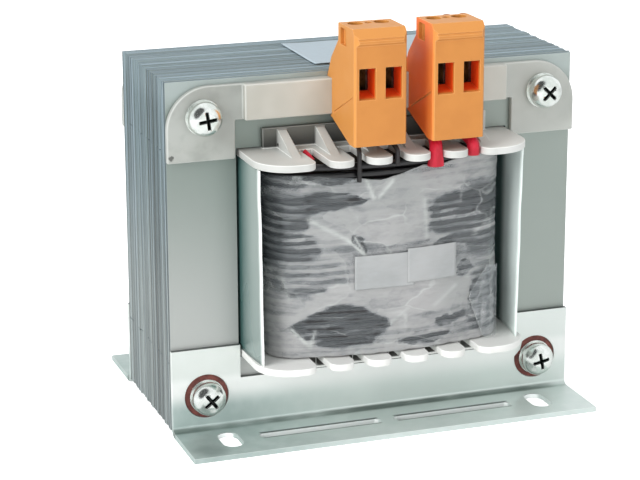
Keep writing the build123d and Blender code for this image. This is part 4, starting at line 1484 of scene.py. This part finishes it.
# CAD pieces that keep their shape: node, slot, name of the piece with rounded edges, rounding, its segments
rounded_pieces = [
    ("bobbin", "bobbin_plastic", "moulded_bobbin", 0.25 * mm, 2),
    ("front_terminal_carrier", "carrier_plastic", "front_carrier", 0.45 * mm, 3),
    ("rear_terminal_carrier", "carrier_plastic", "rear_carrier", 0.45 * mm, 3),
    ("terminal_housing_left", "terminal_plastic", "left_housing", 0.12 * mm, 2),
    ("terminal_housing_right", "terminal_plastic", "right_housing", 0.12 * mm, 2),
    ("front_foot_bracket", "plated_sheet", "front_bracket", 0.15 * mm, 2),
    ("rear_foot_bracket", "plated_sheet", "rear_bracket", 0.15 * mm, 2),
    ("spring_washers", "plated_fastener", "split_washers", 0.10 * mm, 2),
    ("front_washers", "plated_fastener", "flat_washers_front", 0.12 * mm, 2),
    ("rear_washers", "plated_fastener", "flat_washers_rear", 0.12 * mm, 2),
    ("earth_tag", "tag_copper", "double_earth_tag", 0.12 * mm, 2),
    ("clamp_screws", "clamp_metal", "slotted_clamp_screws", 0.08 * mm, 2),
]

# CAD pieces that are kept as they are, with a finish
plain_pieces = [
    ("primary_winding", "enamelled_wire"),
    ("winding_barrier", "barrier_paper"),
    ("clamp_cages", "clamp_metal"),
    ("fibre_washers", "fibre"),
    ("bolt_bushes", "fibre"),
]


def rounded_parts():
    for node, slot, name, width, segments in rounded_pieces:
        new_piece(name, rounded_copy(node, width, segments), slot, node)


def plain_parts():
    for node, slot in plain_pieces:
        mesh = nodes[node].data
        mesh.materials.clear()
        mesh.materials.append(finishes[slot])


# Stage
floor_reach = 4.0
floor_colour = (0.85, 0.86, 0.86, 1.0)
floor_glow = 0.72
floor_mirrored = 0.15
tent_colour = (0.97, 0.99, 1.0, 1.0)
tent_level = 0.5
opening_level = 0.03
opening_outer, opening_inner = 0.79, 0.85

# The dark opening of the light tent, as a direction from the object
dark_opening = Vector((-0.57, -0.53, 0.63)).normalized()

# Soft lamps behind the tent's white cloth: name, place, width and height of the panel, power in watts
lamps = [
    ("key_panel", (-1.25, -0.5, 0.8), 0.9, 0.9, 17.0),
    ("front_panel", (0.0, -1.35, 0.22), 1.2, 0.4, 7.0),
    ("top_panel", (0.1, 0.2, 1.4), 1.0, 1.0, 5.0),
]


def floor_finish():
    """Near white for the camera and for what mirrors it, and still darker in the object's shadow."""
    look = bpy.data.materials.new("pale_floor")
    look.use_nodes = True
    t = NodeTree(look.node_tree)
    t.tree.nodes.remove(t.tree.nodes["Principled BSDF"])
    matt = t.first("ShaderNodeBsdfDiffuse", {"Color": floor_colour})
    path = t.add("ShaderNodeLightPath").outputs
    straight = t.math("MAXIMUM", path["Is Camera Ray"], path["Is Transmission Ray"])
    seen = t.math("MAXIMUM", straight, t.both(path["Is Glossy Ray"], floor_mirrored))
    ends = {"Color": (1.0, 1.0, 1.0, 1.0), "Strength": t.both(seen, floor_glow)}
    glow = t.first("ShaderNodeEmission", ends)
    both = t.first("ShaderNodeAddShader", {0: matt, 1: glow})
    t.join(both, t.tree.nodes["Material Output"].inputs["Surface"])
    return look


def stage():
    """The floor, and a world that is white for the camera and has a dark opening in mirrors."""
    corners = [(-1, -1), (1, -1), (1, 1), (-1, 1)]
    mesh = bpy.data.meshes.new("floor")
    mesh.from_pydata([(x * floor_reach, y * floor_reach, 0.0) for x, y in corners], [], [(0, 1, 2, 3)])
    mesh.materials.append(floor_finish())
    new_object("floor", mesh)
    world = bpy.data.worlds.new("studio")
    bpy.context.scene.world = world
    world.use_nodes = True
    t = NodeTree(world.node_tree)
    background = world.node_tree.nodes["Background"]
    path = t.add("ShaderNodeLightPath").outputs
    direction = t.add("ShaderNodeTexCoord").outputs["Generated"]
    towards = t.vector("DOT_PRODUCT", direction, dark_opening).outputs["Value"]
    mirrored = t.ramp(towards, opening_inner, opening_outer, opening_level, 1.0)
    level = t.mix(path["Is Glossy Ray"], tent_level, mirrored)
    t.join(t.mix(path["Is Camera Ray"], level, 1.0), background.inputs["Strength"])
    background.inputs["Color"].default_value = tent_colour


def lights():
    target = Vector((0.0, 0.0, core_middle))
    for name, place, width, height, power in lamps:
        panel = bpy.data.lights.new(name, "AREA")
        panel.shape = "RECTANGLE"
        panel.size = width
        panel.size_y = height
        panel.energy = power
        lamp = new_object(name, panel)
        lamp.visible_glossy = False
        lamp.location = place
        lamp.rotation_euler = (target - lamp.location).to_track_quat("-Z", "Y").to_euler()


def camera():
    level_share = cos(camera_pitch)
    ahead = Vector((sin(camera_yaw) * level_share, cos(camera_yaw) * level_share, -sin(camera_pitch)))
    level = Vector((cos(camera_yaw), -sin(camera_yaw), 0.0))
    upright = level.cross(ahead)
    right = level * cos(camera_roll) + upright * sin(camera_roll)
    up = upright * cos(camera_roll) - level * sin(camera_roll)
    turn = Matrix((right, up, -ahead)).transposed().to_4x4()
    data = bpy.data.cameras.new("photo_view")
    data.sensor_fit = "HORIZONTAL"
    data.sensor_width = sensor_width
    data.lens = focal_px * sensor_width / photo_width_px
    data.clip_start = 0.05
    data.clip_end = 20.0
    view = new_object("photo_view", data)
    view.matrix_world = Matrix.Translation(camera_place) @ turn
    bpy.context.scene.camera = view


core_sheets()
wound_wire()
film_wrap()
coil_label()
core_label()
side_sheets()
leads()
sleeves()
bolts()
bolt_threads()
nuts()
rounded_parts()
plain_parts()
stage()
lights()
camera()
bpy.context.scene.view_settings.view_transform = "Standard"
